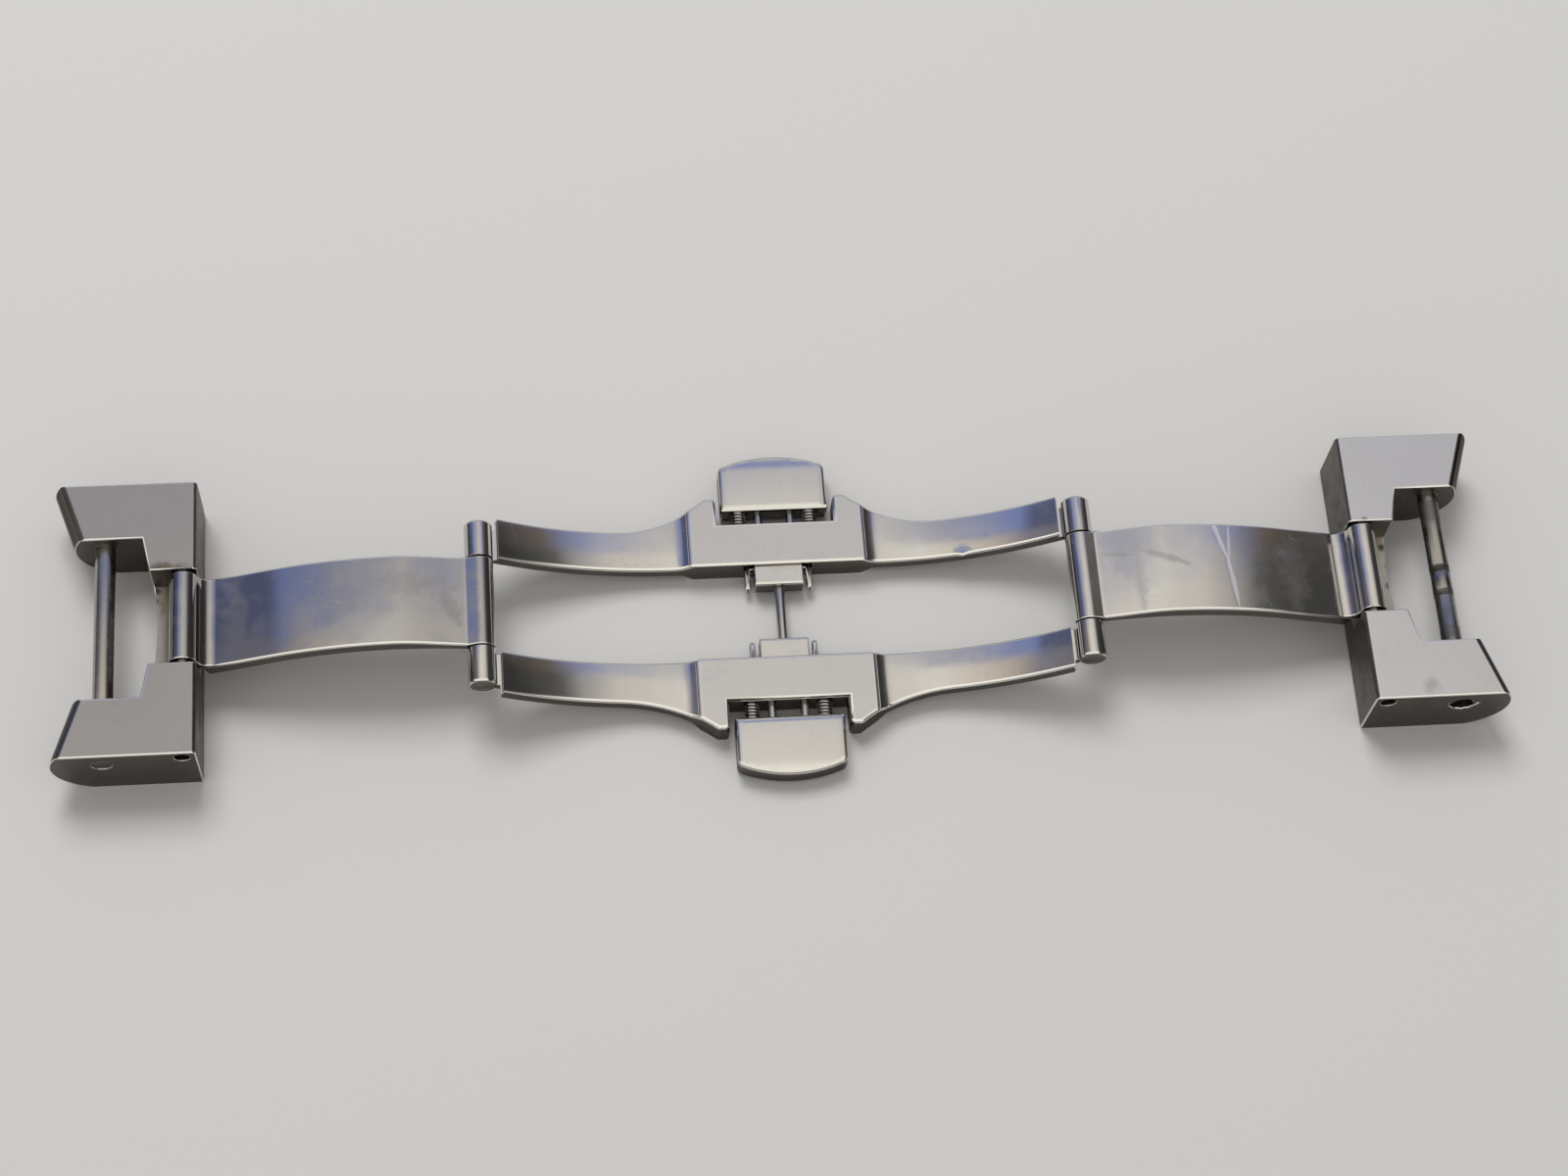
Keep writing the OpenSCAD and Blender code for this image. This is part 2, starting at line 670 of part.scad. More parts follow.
module far_right_guide_pin() { guide_pin(1); }
module near_left_guide_pin() { mirror([0, 1, 0]) guide_pin(-1); }
module near_right_guide_pin() { mirror([0, 1, 0]) guide_pin(1); }
module far_left_spring() { coil_spring(-1); }
module far_right_spring() { coil_spring(1); }
module near_left_spring() { mirror([0, 1, 0]) coil_spring(-1); }
module near_right_spring() { mirror([0, 1, 0]) coil_spring(1); }

far_side_rail();
near_side_rail();
left_hinge_pin();
right_hinge_pin();
catch_guide_rod();
left_arm();
right_arm();
left_barrel_pin();
right_barrel_pin();
left_end_link();
right_end_link();
left_link_pin();
right_link_pin();
far_button_cap();
near_button_cap();
far_catch();
near_catch();
far_left_guide_pin();
far_right_guide_pin();
near_left_guide_pin();
near_right_guide_pin();
far_left_spring();
far_right_spring();
near_left_spring();
near_right_spring();
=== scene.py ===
"""A double-fold watch clasp with two push buttons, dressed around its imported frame.

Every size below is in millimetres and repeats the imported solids. +X runs along the clasp, +Y across
it towards the far side, +Z up. Each sub-assembly is a class that makes and finishes its own pieces.
"""
import json
import logging
import math
import random
from collections.abc import Callable, Iterable, Sequence
from dataclasses import dataclass, field, replace
from enum import Enum
from typing import ClassVar

import bmesh
import bpy
from mathutils import Matrix, Vector

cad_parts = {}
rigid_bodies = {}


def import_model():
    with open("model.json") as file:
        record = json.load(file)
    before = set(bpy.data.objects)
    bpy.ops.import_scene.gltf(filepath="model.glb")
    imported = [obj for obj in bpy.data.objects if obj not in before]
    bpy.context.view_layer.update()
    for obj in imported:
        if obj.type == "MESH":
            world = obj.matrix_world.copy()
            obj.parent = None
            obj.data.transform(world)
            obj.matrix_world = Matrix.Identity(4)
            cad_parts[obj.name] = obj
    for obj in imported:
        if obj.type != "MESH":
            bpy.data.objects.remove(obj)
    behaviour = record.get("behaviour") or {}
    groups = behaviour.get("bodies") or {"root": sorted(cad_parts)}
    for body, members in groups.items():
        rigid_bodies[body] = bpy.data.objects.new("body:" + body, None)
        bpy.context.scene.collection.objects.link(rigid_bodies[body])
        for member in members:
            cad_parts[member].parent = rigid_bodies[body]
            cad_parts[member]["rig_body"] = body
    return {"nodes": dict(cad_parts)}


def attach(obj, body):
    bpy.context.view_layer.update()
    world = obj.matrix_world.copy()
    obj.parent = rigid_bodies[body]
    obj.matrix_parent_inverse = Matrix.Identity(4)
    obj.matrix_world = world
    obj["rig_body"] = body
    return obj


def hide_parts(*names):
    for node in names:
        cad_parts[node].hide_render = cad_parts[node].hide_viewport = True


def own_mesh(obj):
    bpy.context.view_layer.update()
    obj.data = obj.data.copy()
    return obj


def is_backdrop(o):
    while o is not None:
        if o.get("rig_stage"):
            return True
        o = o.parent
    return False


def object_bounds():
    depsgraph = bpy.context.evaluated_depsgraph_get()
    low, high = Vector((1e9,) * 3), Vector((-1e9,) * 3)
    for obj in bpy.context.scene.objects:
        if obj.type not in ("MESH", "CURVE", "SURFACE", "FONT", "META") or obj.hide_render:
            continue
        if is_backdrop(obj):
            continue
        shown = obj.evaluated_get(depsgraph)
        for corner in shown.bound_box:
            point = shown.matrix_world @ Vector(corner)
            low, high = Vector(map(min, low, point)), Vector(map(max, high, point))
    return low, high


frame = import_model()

LOG = logging.getLogger("clasp")
MM = 0.001
MICRON = 0.001 * MM
SLACK = 0.01  # how near to a plane or an edge still counts as on it
CORNER_DEG = 35.0  # the least angle of an edge that is rounded
FACES_UP = 0.6  # the least Z of the normal of a face that belongs to a top
Colour = tuple[float, float, float]
Point = tuple[float, float, float]
Place = tuple[float, float]
Stop = tuple[float, Colour]
Face = bmesh.types.BMFace
Edge = bmesh.types.BMEdge


class Hand(Enum):
    """The two ends of the clasp."""

    LEFT = -1
    RIGHT = 1

    @property
    def label(self) -> str:
        """The word that starts the names of this end's nodes."""
        return self.name.lower()


class Row(Enum):
    """The two long sides of the clasp."""

    FAR = 1
    NEAR = -1

    @property
    def label(self) -> str:
        """The word that starts the names of this side's nodes."""
        return self.name.lower()


@dataclass(frozen=True)
class Layout:
    """The axes and radii that several pieces share, measured from the middle of the clasp."""

    hinge_x: float = 20.7
    hinge_h: float = 5.0
    knuckle_r: float = 0.97
    barrel_x: float = 40.6626
    barrel_h: float = 4.6
    barrel_pin_r: float = 0.53
    link_pin_x: float = 46.0026
    link_pin_h: float = 3.9
    link_pin_r: float = 0.7
    rod_h: float = 1.1
    guide_x: float = 1.13
    spring_x: float = 2.5


LAYOUT = Layout()


# ---- shader expressions ----


class Term:
    """A shader socket that takes part in Python sums. Each sum adds a Math node."""

    def __init__(self, graph: "Graph", socket: bpy.types.NodeSocket) -> None:
        """Wraps a socket.

        Args:
            graph: the node graph that the socket belongs to.
            socket: the output socket.
        """
        self.graph = graph
        self.socket = socket

    def __add__(self, other: "Term | float") -> "Term":
        """The sum of two values."""
        return self.graph.math("ADD", self, other)

    def __sub__(self, other: "Term | float") -> "Term":
        """This value less another."""
        return self.graph.math("SUBTRACT", self, other)

    def __rsub__(self, other: float) -> "Term":
        """A number less this value."""
        return self.graph.math("SUBTRACT", other, self)

    def __mul__(self, other: "Term | float") -> "Term":
        """The product of two values."""
        return self.graph.math("MULTIPLY", self, other)

    def __pow__(self, other: float) -> "Term":
        """This value raised to a power."""
        return self.graph.math("POWER", self, other)

    def __abs__(self) -> "Term":
        """The size of this value without its sign."""
        return self.graph.math("ABSOLUTE", self)

    def most(self, other: "Term | float") -> "Term":
        """The larger of two values."""
        return self.graph.math("MAXIMUM", self, other)

    def least(self, other: "Term | float") -> "Term":
        """The smaller of two values."""
        return self.graph.math("MINIMUM", self, other)

    def ramp(self, low: float, high: float) -> "Term":
        """A smooth step of this value.

        Args:
            low: the value that gives 0.
            high: the value that gives 1.

        Returns:
            The step, from 0 to 1.
        """
        flip = low > high
        made = self.graph.node(
            "ShaderNodeMapRange",
            {"Value": self, "From Min": min(low, high), "From Max": max(low, high),
             "To Min": float(flip), "To Max": float(not flip)},
            interpolation_type="SMOOTHSTEP",
        )
        return Term(self.graph, made.outputs[0])


class Graph:
    """A node tree and short ways to add to it."""

    def __init__(self, tree: bpy.types.NodeTree) -> None:
        """Empties the tree that it wraps."""
        self.tree = tree
        tree.nodes.clear()

    def node(self, kind: str, inputs: dict | None = None, **settings: object) -> bpy.types.Node:
        """Adds a node.

        Args:
            kind: the node's type.
            inputs: values, terms or sockets, by the name or number of the node's input.
            **settings: its settings by name, set before its inputs.

        Returns:
            The new node.
        """
        made = self.tree.nodes.new(kind)
        for name, value in settings.items():
            setattr(made, name, value)
        for key, value in (inputs or {}).items():
            socket = made.inputs[key]
            if isinstance(value, Term):
                self.tree.links.new(value.socket, socket)
            elif isinstance(value, bpy.types.NodeSocket):
                self.tree.links.new(value, socket)
            elif socket.type == "RGBA":
                socket.default_value = (*value, 1.0)
            else:
                socket.default_value = value
        return made

    def math(self, operation: str, *values: "Term | float") -> Term:
        """The result of a Math node.

        Args:
            operation: the node's operation.
            *values: its inputs in order.

        Returns:
            The result.
        """
        made = self.node("ShaderNodeMath", dict(enumerate(values)), operation=operation)
        return Term(self, made.outputs[0])

    def mix(self, share: "Term | float", first: "Term | Colour", second: "Term | Colour") -> Term:
        """A colour between two colours.

        Args:
            share: 0 for the first colour, 1 for the second.
            first: the first colour.
            second: the second colour.

        Returns:
            The mixed colour.
        """
        made = self.node("ShaderNodeMix", {0: share, 6: first, 7: second}, data_type="RGBA")
        return Term(self, made.outputs[2])

    def colours(self, share: Term, stops: Sequence[Stop]) -> Term:
        """A row of colours.

        Args:
            share: the place in the row, from 0 to 1.
            stops: places from 0 to 1 and the colour at each.

        Returns:
            The colour at the place.
        """
        row = self.node("ShaderNodeValToRGB", {"Fac": share})
        found = row.color_ramp.elements
        found.remove(found[1])
        found[0].position, found[0].color = stops[0][0], (*stops[0][1], 1.0)
        for place, colour in stops[1:]:
            found.new(place).color = (*colour, 1.0)
        return Term(self, row.outputs["Color"])

    def place(self) -> Term:
        """The shaded point in the piece's own coordinates, in millimetres."""
        read = self.node("ShaderNodeTexCoord")
        made = self.node(
            "ShaderNodeVectorMath",
            {0: read.outputs["Object"], "Scale": 1 / MM},
            operation="SCALE",
        )
        return Term(self, made.outputs[0])

    def axes(self, vector: Term) -> tuple[Term, Term, Term]:
        """The three parts of a vector."""
        made = self.node("ShaderNodeSeparateXYZ", {0: vector})
        return tuple(Term(self, made.outputs[i]) for i in range(3))

    def noise(self, place: Term, period: Point, detail: float = 2.0, turn: float = 0.0) -> Term:
        """A smooth random value that repeats nowhere.

        Args:
            place: where it is read, in millimetres.
            period: the size of its marks along X, Y and Z, in millimetres.
            detail: how many finer layers are added.
            turn: the angle by which the marks are turned about Z, in degrees.

        Returns:
            The value, around a half.
        """
        laid = self.node(
            "ShaderNodeMapping",
            {"Vector": place, "Rotation": (0, 0, math.radians(turn)), "Scale": period},
            vector_type="TEXTURE",
        )
        made = self.node(
            "ShaderNodeTexNoise",
            {"Vector": laid.outputs[0], "Scale": 1.0, "Detail": detail, "Roughness": 0.5},
        )
        return Term(self, made.outputs[0])


# ---- finishes ----


class Grain(Enum):
    """How a steel face was worked, given by the size of its marks along X, Y and Z."""

    POLISHED = (0.3, 3.2, 0.3)
    BRUSHED_ACROSS = (0.26, 5.0, 0.26)
    BRUSHED_ALONG = (5.0, 0.26, 0.26)
    SATIN = (0.3, 1.4, 0.3)
    TURNED = (2.0, 0.2, 2.0)
    ROUGH = (0.4, 0.4, 0.4)


@dataclass(frozen=True)
class Spot:
    """A stain seen from above: its place in X and Y, how far it reaches and how strong it is."""

    centre: Place
    reach: float
    strength: float = 1.0


@dataclass(frozen=True)
class Streak:
    """A straight mark seen from above, between two points in X and Y."""

    start: Place
    end: Place
    width: float = 0.1
    strength: float = 1.0

    TAPER: ClassVar[float] = 2.2

    def apart(self, graph: Graph, place: Term) -> Term:
        """How far a point is from the mark's middle line.

        Args:
            graph: the material's graph.
            place: the shaded point.

        Returns:
            The distance over the mark's width.
        """
        x, y, _ = graph.axes(place)
        along = Vector(self.end) - Vector(self.start)
        from_x, from_y = x - self.start[0], y - self.start[1]
        share = (from_x * along.x + from_y * along.y) * (1 / along.length_squared)
        share = share.most(0.0).least(1.0)
        off_x, off_y = from_x - share * along.x, from_y - share * along.y
        taper = (share - 0.5) * (share - 0.5) * self.TAPER
        return (off_x * off_x + off_y * off_y) ** 0.5 * (1 / self.width) + taper


@dataclass(frozen=True)
class Band:
    """A dark worn band round a pin, at a place along Y."""

    middle: float
    half: float
    strength: float = 0.8


@dataclass(frozen=True)
class SteelFinish:
    """One finish of the clasp's steel, with its marks, smudges, stains and wear."""

    name: str
    colour: Colour
    grain: Grain
    roughness: float
    spread: float
    grain_depth: float
    wave_depth: float = 0.0
    hairlines: float = 0.0
    smudges: float = 0.1
    soil: float = 0.2
    soil_colour: Colour = (0.16, 0.125, 0.09)
    spots: tuple[Spot, ...] = ()
    scratches: tuple[Streak, ...] = ()
    stains: tuple[Streak, ...] = ()
    bands: tuple[Band, ...] = ()
    # Below 1, edge_tint dims the reflection at grazing angles, which the dark side finishes use as
    # painted shade.
    edge_tint: float = 1.0

    CUT_COLOUR: ClassVar[Colour] = (0.97, 0.96, 0.94)
    LIGHTEST: ClassVar[float] = 1.12
    DARKEST: ClassVar[float] = 0.82
    GRAIN_CONTRAST: ClassVar[float] = 0.22
    CLOUD_CONTRAST: ClassVar[float] = 0.16
    CLOUD_SIZE: ClassVar[Point] = (1.9, 1.5, 1.7)
    WAVE_SIZE: ClassVar[Point] = (2.6, 2.2, 2.4)
    FILM_SIZE: ClassVar[Point] = (3.4, 2.6, 2.4)
    SPECK_SIZE: ClassVar[Point] = (0.5, 0.5, 0.5)
    CLOUD_EDGE: ClassVar[Place] = (0.48, 0.72)
    HAIRLINE_AREA: ClassVar[Point] = (3.0, 2.2, 3.0)
    HAIRLINE_SPREAD: ClassVar[Place] = (0.42, 0.62)
    HAIRLINE_EDGE: ClassVar[Place] = (0.66, 0.74)
    HAIRLINE_TURNS: ClassVar[tuple[Place, ...]] = ((24.0, 5.0), (-38.0, 4.0), (79.0, 6.0))
    HAIRLINE_WIDTH: ClassVar[float] = 0.11
    HAIRLINE_DEPTH: ClassVar[float] = 0.8
    HAIRLINE_DULL: ClassVar[float] = 0.12
    SCRATCH_RAGGED: ClassVar[float] = 1.1
    SCRATCH_EDGE: ClassVar[Place] = (0.95, 0.25)
    SCRATCH_DEPTH: ClassVar[float] = 5.0
    SCRATCH_DULL: ClassVar[float] = 0.1
    SCRATCH_COVER: ClassVar[float] = 0.85
    FILM_EDGE: ClassVar[Place] = (0.5, 0.8)
    SPECK_EDGE: ClassVar[Place] = (0.4, 0.65)
    SPOT_EDGE: ClassVar[Place] = (1.05, 0.2)
    STAIN_EDGE: ClassVar[Place] = (1.05, 0.15)
    BAND_EDGE: ClassVar[Place] = (1.15, 0.6)
    SOIL_DEPTH: ClassVar[float] = 0.6
    SOIL_DULL: ClassVar[float] = 0.28
    SOIL_COVER: ClassVar[float] = 0.9
    SOIL_METAL: ClassVar[float] = 0.3
    ROUGHEST: ClassVar[float] = 0.9
    SMOOTHEST: ClassVar[float] = 0.05

    def _hairlines(self, graph: Graph, place: Term) -> Term:
        """Fine random scratches in three directions.

        Args:
            graph: the material's graph.
            place: the shaded point.

        Returns:
            A value from 0 to 1, which is 1 in a scratch.
        """
        where = graph.noise(place, self.HAIRLINE_AREA, 2.0).ramp(*self.HAIRLINE_SPREAD)
        lines = None
        for turn, length in self.HAIRLINE_TURNS:
            size = (self.HAIRLINE_WIDTH, length, 0.6)
            line = graph.noise(place, size, 1.0, turn).ramp(*self.HAIRLINE_EDGE)
            lines = line if lines is None else lines.most(line)
        return lines * where * self.hairlines

    def _scratches(self, graph: Graph, place: Term) -> Term | float:
        """The finish's own long scratches.

        Args:
            graph: the material's graph.
            place: the shaded point.

        Returns:
            A value from 0 to 1, which is 1 in a scratch.
        """
        found: Term | float = 0.0
        ragged = (graph.noise(place, (0.5, 0.9, 0.5), 3.0) - 0.5) * self.SCRATCH_RAGGED
        for scratch in self.scratches:
            mark = (scratch.apart(graph, place) + ragged).ramp(*self.SCRATCH_EDGE)
            mark = mark * scratch.strength
            found = mark if isinstance(found, float) else found.most(mark)
        return found

    def _soil(self, graph: Graph, place: Term) -> Term:
        """Where the steel is stained.

        Args:
            graph: the material's graph.
            place: the shaded point.

        Returns:
            A value from 0 to 1, which is 1 where the stain covers the steel.
        """
        speck = graph.noise(place, self.SPECK_SIZE, 4.0)
        film = graph.noise(place, self.FILM_SIZE, 3.0)
        soil = film.ramp(*self.FILM_EDGE) * speck.ramp(*self.SPECK_EDGE) * self.soil
        x, y, _ = graph.axes(place)
        for spot in self.spots:
            off_x, off_y = x - spot.centre[0], y - spot.centre[1]
            away = (off_x * off_x + off_y * off_y) ** 0.5
            edge = away * (1 / spot.reach) + (speck - 0.5) * 1.1
            soil = soil.most(edge.ramp(*self.SPOT_EDGE) * spot.strength)
        for stain in self.stains:
            edge = stain.apart(graph, place) + (speck - 0.5) * 1.3 + (film - 0.5) * 1.4
            soil = soil.most(edge.ramp(*self.STAIN_EDGE) * stain.strength)
        for band in self.bands:
            edge = abs(y - band.middle) * (1 / band.half) + (speck - 0.5) * 1.2
            soil = soil.most(edge.ramp(*self.BAND_EDGE) * band.strength)
        return soil

    def material(self) -> bpy.types.Material:
        """Makes the finish's material.

        Returns:
            The material.
        """
        made = bpy.data.materials.new(self.name)
        made.use_nodes = True
        graph = Graph(made.node_tree)
        place = graph.place()
        grain = graph.noise(place, self.grain.value, 3.0)
        cloud = graph.noise(place, self.CLOUD_SIZE, 3.0)
        marks = self._hairlines(graph, place) if self.hairlines else 0.0
        cuts = self._scratches(graph, place)
        soil = self._soil(graph, place)

        lift = (grain - 0.5) * self.GRAIN_CONTRAST + (cloud - 0.5) * self.CLOUD_CONTRAST
        light = tuple(min(1.0, self.LIGHTEST * part) for part in self.colour)
        dark = tuple(self.DARKEST * part for part in self.colour)
        colour = graph.mix(lift + 0.5, dark, light)
        if self.scratches:
            colour = graph.mix(cuts * self.SCRATCH_COVER, colour, self.CUT_COLOUR)
        colour = graph.mix(soil * self.SOIL_COVER, colour, self.soil_colour)

        rough = (grain - 0.5) * self.spread + self.roughness
        rough = rough + cloud.ramp(*self.CLOUD_EDGE) * self.smudges + soil * self.SOIL_DULL
        if self.hairlines:
            rough = rough + marks * self.HAIRLINE_DULL
        if self.scratches:
            rough = rough + cuts * self.SCRATCH_DULL
        height = grain * self.grain_depth
        if self.wave_depth:
            height = height + graph.noise(place, self.WAVE_SIZE, 1.0) * self.wave_depth
        if self.hairlines:
            height = height - marks * self.HAIRLINE_DEPTH
        if self.scratches:
            height = height - cuts * self.SCRATCH_DEPTH
        height = height - soil * self.SOIL_DEPTH
        bump = graph.node(
            "ShaderNodeBump", {"Strength": 1.0, "Distance": MICRON, "Height": height}
        )
        shader = graph.node(
            "ShaderNodeBsdfPrincipled",
            {"Base Color": colour, "Metallic": 1.0 - soil * self.SOIL_METAL,
             "Roughness": rough.most(self.SMOOTHEST).least(self.ROUGHEST),
             "Normal": bump.outputs[0]},
        )
        shader.inputs["Specular Tint"].default_value = (*[self.edge_tint] * 3, 1.0)
        graph.node("ShaderNodeOutputMaterial", {"Surface": shader.outputs[0]})
        return made


class Finishes:
    """All finishes of the clasp. A material is made the first time that it is asked for."""

    def __init__(self) -> None:
        """Names each finish."""
        warm = (0.62, 0.605, 0.575)
        shaded = (0.2, 0.188, 0.172)
        soot = (0.2, 0.19, 0.18)
        pale = (0.64, 0.625, 0.59)
        across, polished = Grain.BRUSHED_ACROSS, Grain.POLISHED
        self.rail_polish = SteelFinish(
            "rail_polish", warm, polished, roughness=0.09, spread=0.05, grain_depth=0.2,
            wave_depth=9.0, hairlines=0.7, smudges=0.06, soil=0.1,
        )
        # Painted shade: the side and under faces of rails, arms, caps and catches get a dark colour
        # and a dimmed edge reflection, as if they faced a shadowed table; the grain, hairlines and
        # soil are the steel's own.
        self.rail_side = SteelFinish(
            "rail_side", shaded, polished, roughness=0.24, spread=0.12, grain_depth=0.6,
            wave_depth=8.0, hairlines=0.4, soil=0.5, edge_tint=0.5,
        )
        self.housing_brushed = SteelFinish(
            "housing_brushed", warm, across, roughness=0.22, spread=0.08, grain_depth=0.5,
            hairlines=0.4, smudges=0.05, soil=0.06,
        )
        # Painted shade: the left arm is the right arm's steel in a darker colour, as if it were lit
        # less.
        self.left_arm_polish = SteelFinish(
            "left_arm_polish", (0.45, 0.44, 0.425), polished, roughness=0.09, spread=0.05,
            grain_depth=0.25, wave_depth=10.0, hairlines=1.0, smudges=0.08, soil=0.12,
            soil_colour=soot,
            stains=(
                Streak((-27.8, 1.6), (-22.4, 0.9), 1.5, 0.3),
                Streak((-23.4, 1.2), (-22.2, -1.6), 0.9, 0.3),
                # Painted reflection: the wide band across the arm near its link end darkens it as if
                # it mirrored a dark patch; the streaks above are stains.
                Streak((-37.2, 3.2), (-37.0, -3.2), 1.2, 0.3),
            ),
        )
        self.right_arm_polish = replace(
            self.left_arm_polish, name="right_arm_polish", colour=warm,
            stains=(
                Streak((21.6, 1.6), (24.2, 1.1), 0.34, 0.45),
                Streak((24.4, 1.5), (27.8, 0.2), 0.42, 0.4),
                Streak((24.2, 2.9), (24.4, -3.2), 0.5, 0.26),
                # Painted reflection: the wide band across the arm near its link end darkens it as if
                # it mirrored a dark patch; the other streaks are stains.
                Streak((35.4, 3.0), (35.2, -3.2), 1.5, 0.3),
            ),
            scratches=(
                Streak((29.75, 3.6), (30.6, 0.4), 0.26, 0.8),
                Streak((30.95, 3.5), (30.65, 0.2), 0.2, 0.7),
                Streak((30.55, 1.2), (30.95, -3.2), 0.28, 0.9),
            ),
        )
        self.link_satin = SteelFinish(
            "link_satin", (0.63, 0.62, 0.6), Grain.SATIN, roughness=0.3, spread=0.1,
            grain_depth=0.6, wave_depth=1.0, hairlines=0.4, smudges=0.05, soil=0.08,
            spots=(Spot((40.9, 3.5), 0.32, 0.8), Spot((43.6, -9.2), 0.8, 0.3)),
        )
        # Painted shade: the left link is the right link's satin steel in a darker colour, as if it
        # were lit less; its streak is a stain.
        self.link_grey = replace(
            self.link_satin, name="link_grey", colour=(0.40, 0.38, 0.355), roughness=0.32,
            soil=0.1, spots=(), stains=(Streak((-43.4, 3.35), (-39.9, 3.5), 0.6),),
        )
        # Painted shade: the brushed link sides share the dark colour and dimmed edge reflection of
        # the rail sides, as if they faced a shadowed table; the grain and soil are the steel's own.
        self.link_brushed = SteelFinish(
            "link_brushed", shaded, Grain.BRUSHED_ALONG, roughness=0.28, spread=0.12,
            grain_depth=0.8, wave_depth=2.0, hairlines=0.5, smudges=0.08, soil=0.4,
            edge_tint=0.5,
        )
        # Painted shade: the polished lug ends get a dark colour and a dimmed edge reflection, as if
        # they mirrored a dark room, though they are the same steel as the pale faces.
        self.link_polish = SteelFinish(
            "link_polish", (0.16, 0.15, 0.138), polished, roughness=0.16, spread=0.08,
            grain_depth=0.4, wave_depth=5.0, hairlines=0.6, smudges=0.08, soil=0.25,
            edge_tint=0.4,
        )
        # Painted shade: the walls of the links' pocket and notch are painted dark, with dark soil on
        # top, where shade falls between the barrel and the link.
        self.notch_dark = SteelFinish(
            "notch_dark", (0.11, 0.098, 0.085), Grain.ROUGH, roughness=0.4, spread=0.2,
            grain_depth=2.0, wave_depth=1.0, hairlines=0.3, soil=0.9,
            soil_colour=(0.05, 0.038, 0.03),
        )
        self.web_dull = SteelFinish(
            "web_dull", (0.42, 0.39, 0.33), Grain.ROUGH, roughness=0.45, spread=0.3,
            grain_depth=4.0, wave_depth=2.0, hairlines=0.3, soil=1.4,
            soil_colour=(0.07, 0.055, 0.04),
            spots=tuple(
                Spot(centre, 0.4, 0.95)
                for centre in ((42.6, 2.6), (42.9, 1.1), (42.7, -0.4), (43.0, -2.2), (-42.8, 2.3),
                               (-42.9, -1.4), (-42.7, 3.1))
            ),
        )
        self.cap_satin = SteelFinish(
            "cap_satin", pale, across, roughness=0.17, spread=0.08, grain_depth=0.4,
            hairlines=0.3, smudges=0.05, soil=0.05,
        )
        # Painted shade: the dark streaks down the middle of the catch's ears stand for the shade in
        # their slots; the rest is satin steel.
        self.catch_satin = replace(
            self.cap_satin, name="catch_satin", soil=0.1, soil_colour=(0.03, 0.026, 0.022),
            stains=tuple(
                Streak((x, 2.42 * side), (x, 4.2 * side), 0.13)
                for x in (-2.14, 2.18) for side in (-1, 1)
            ),
        )
        # Worn edges, lighter and smoother than the faces round them: partly real wear, partly a
        # painted highlight along the rounded edges and the arms' creases.
        self.worn_edge = SteelFinish(
            "worn_edge", (0.7, 0.685, 0.655), Grain.ROUGH, roughness=0.12, spread=0.05,
            grain_depth=0.3, wave_depth=2.0, hairlines=0.3, smudges=0.05, soil=0.05,
        )
        # Painted shade: near-black steel for the insides of bores, the housing's recess walls and the
        # punch mark, where shade falls.
        self.bored = SteelFinish(
            "bored", (0.04, 0.035, 0.03), Grain.ROUGH, roughness=0.5, spread=0.2,
            grain_depth=2.0, soil=0.9, soil_colour=(0.015, 0.013, 0.011),
        )
        self.pin_turned = SteelFinish(
            "pin_turned", (0.40, 0.375, 0.345), Grain.TURNED, roughness=0.24, spread=0.1,
            grain_depth=0.5, wave_depth=1.0, hairlines=0.4, smudges=0.08, soil=0.3,
        )
        self.pin_burnt = SteelFinish(
            "pin_burnt", (0.3, 0.285, 0.265), Grain.TURNED, roughness=0.22, spread=0.1,
            grain_depth=0.6, wave_depth=1.0, hairlines=0.4, smudges=0.08, soil=0.6,
            soil_colour=(0.03, 0.026, 0.024),
            bands=(Band(0.0, 0.34, 0.95), Band(-1.85, 0.3), Band(4.4, 1.1, 0.5),
                   Band(-4.9, 0.6, 0.5), Band(-9.55, 0.25, 1.0), Band(9.55, 0.25, 1.0)),
        )
        self.rod_turned = SteelFinish(
            "rod_turned", (0.48, 0.465, 0.44), Grain.TURNED, roughness=0.2, spread=0.1,
            grain_depth=0.5, hairlines=0.3, smudges=0.08, soil=0.3,
        )
        self.spring_wire = SteelFinish(
            "spring_wire", (0.5, 0.485, 0.46), Grain.ROUGH, roughness=0.22, spread=0.1,
            grain_depth=0.3, soil=0.2,
        )
        self._made: dict[str, bpy.types.Material] = {}

    def get(self, finish: SteelFinish) -> bpy.types.Material:
        """The finish's material, made once.

        Args:
            finish: the finish.

        Returns:
            Its material.
        """
        if finish.name not in self._made:
            self._made[finish.name] = finish.material()
        return self._made[finish.name]


FINISHES = Finishes()


# ---- work on meshes ----


def smooth_step(value: float) -> float:
    """A smooth step from 0 to 1 as the value goes from 0 to 1."""
    share = min(1.0, max(0.0, value))
    return share * share * (3 - 2 * share)


def steps(first: float, last: float, step: float) -> list[float]:
    """Evenly spaced places, both ends included.

    Args:
        first: the first place.
        last: the last place.
        step: the most that two places may be apart.

    Returns:
        The places.
    """
    count = max(1, math.ceil((last - first) / step))
    return [first + (last - first) * i / count for i in range(count + 1)]


def drop_normals(mesh: bpy.types.Mesh) -> None:
    """Takes the stored normals off a mesh, so that its shading follows its faces."""
    layer = mesh.attributes.get("custom_normal")
    if layer:
        mesh.attributes.remove(layer)


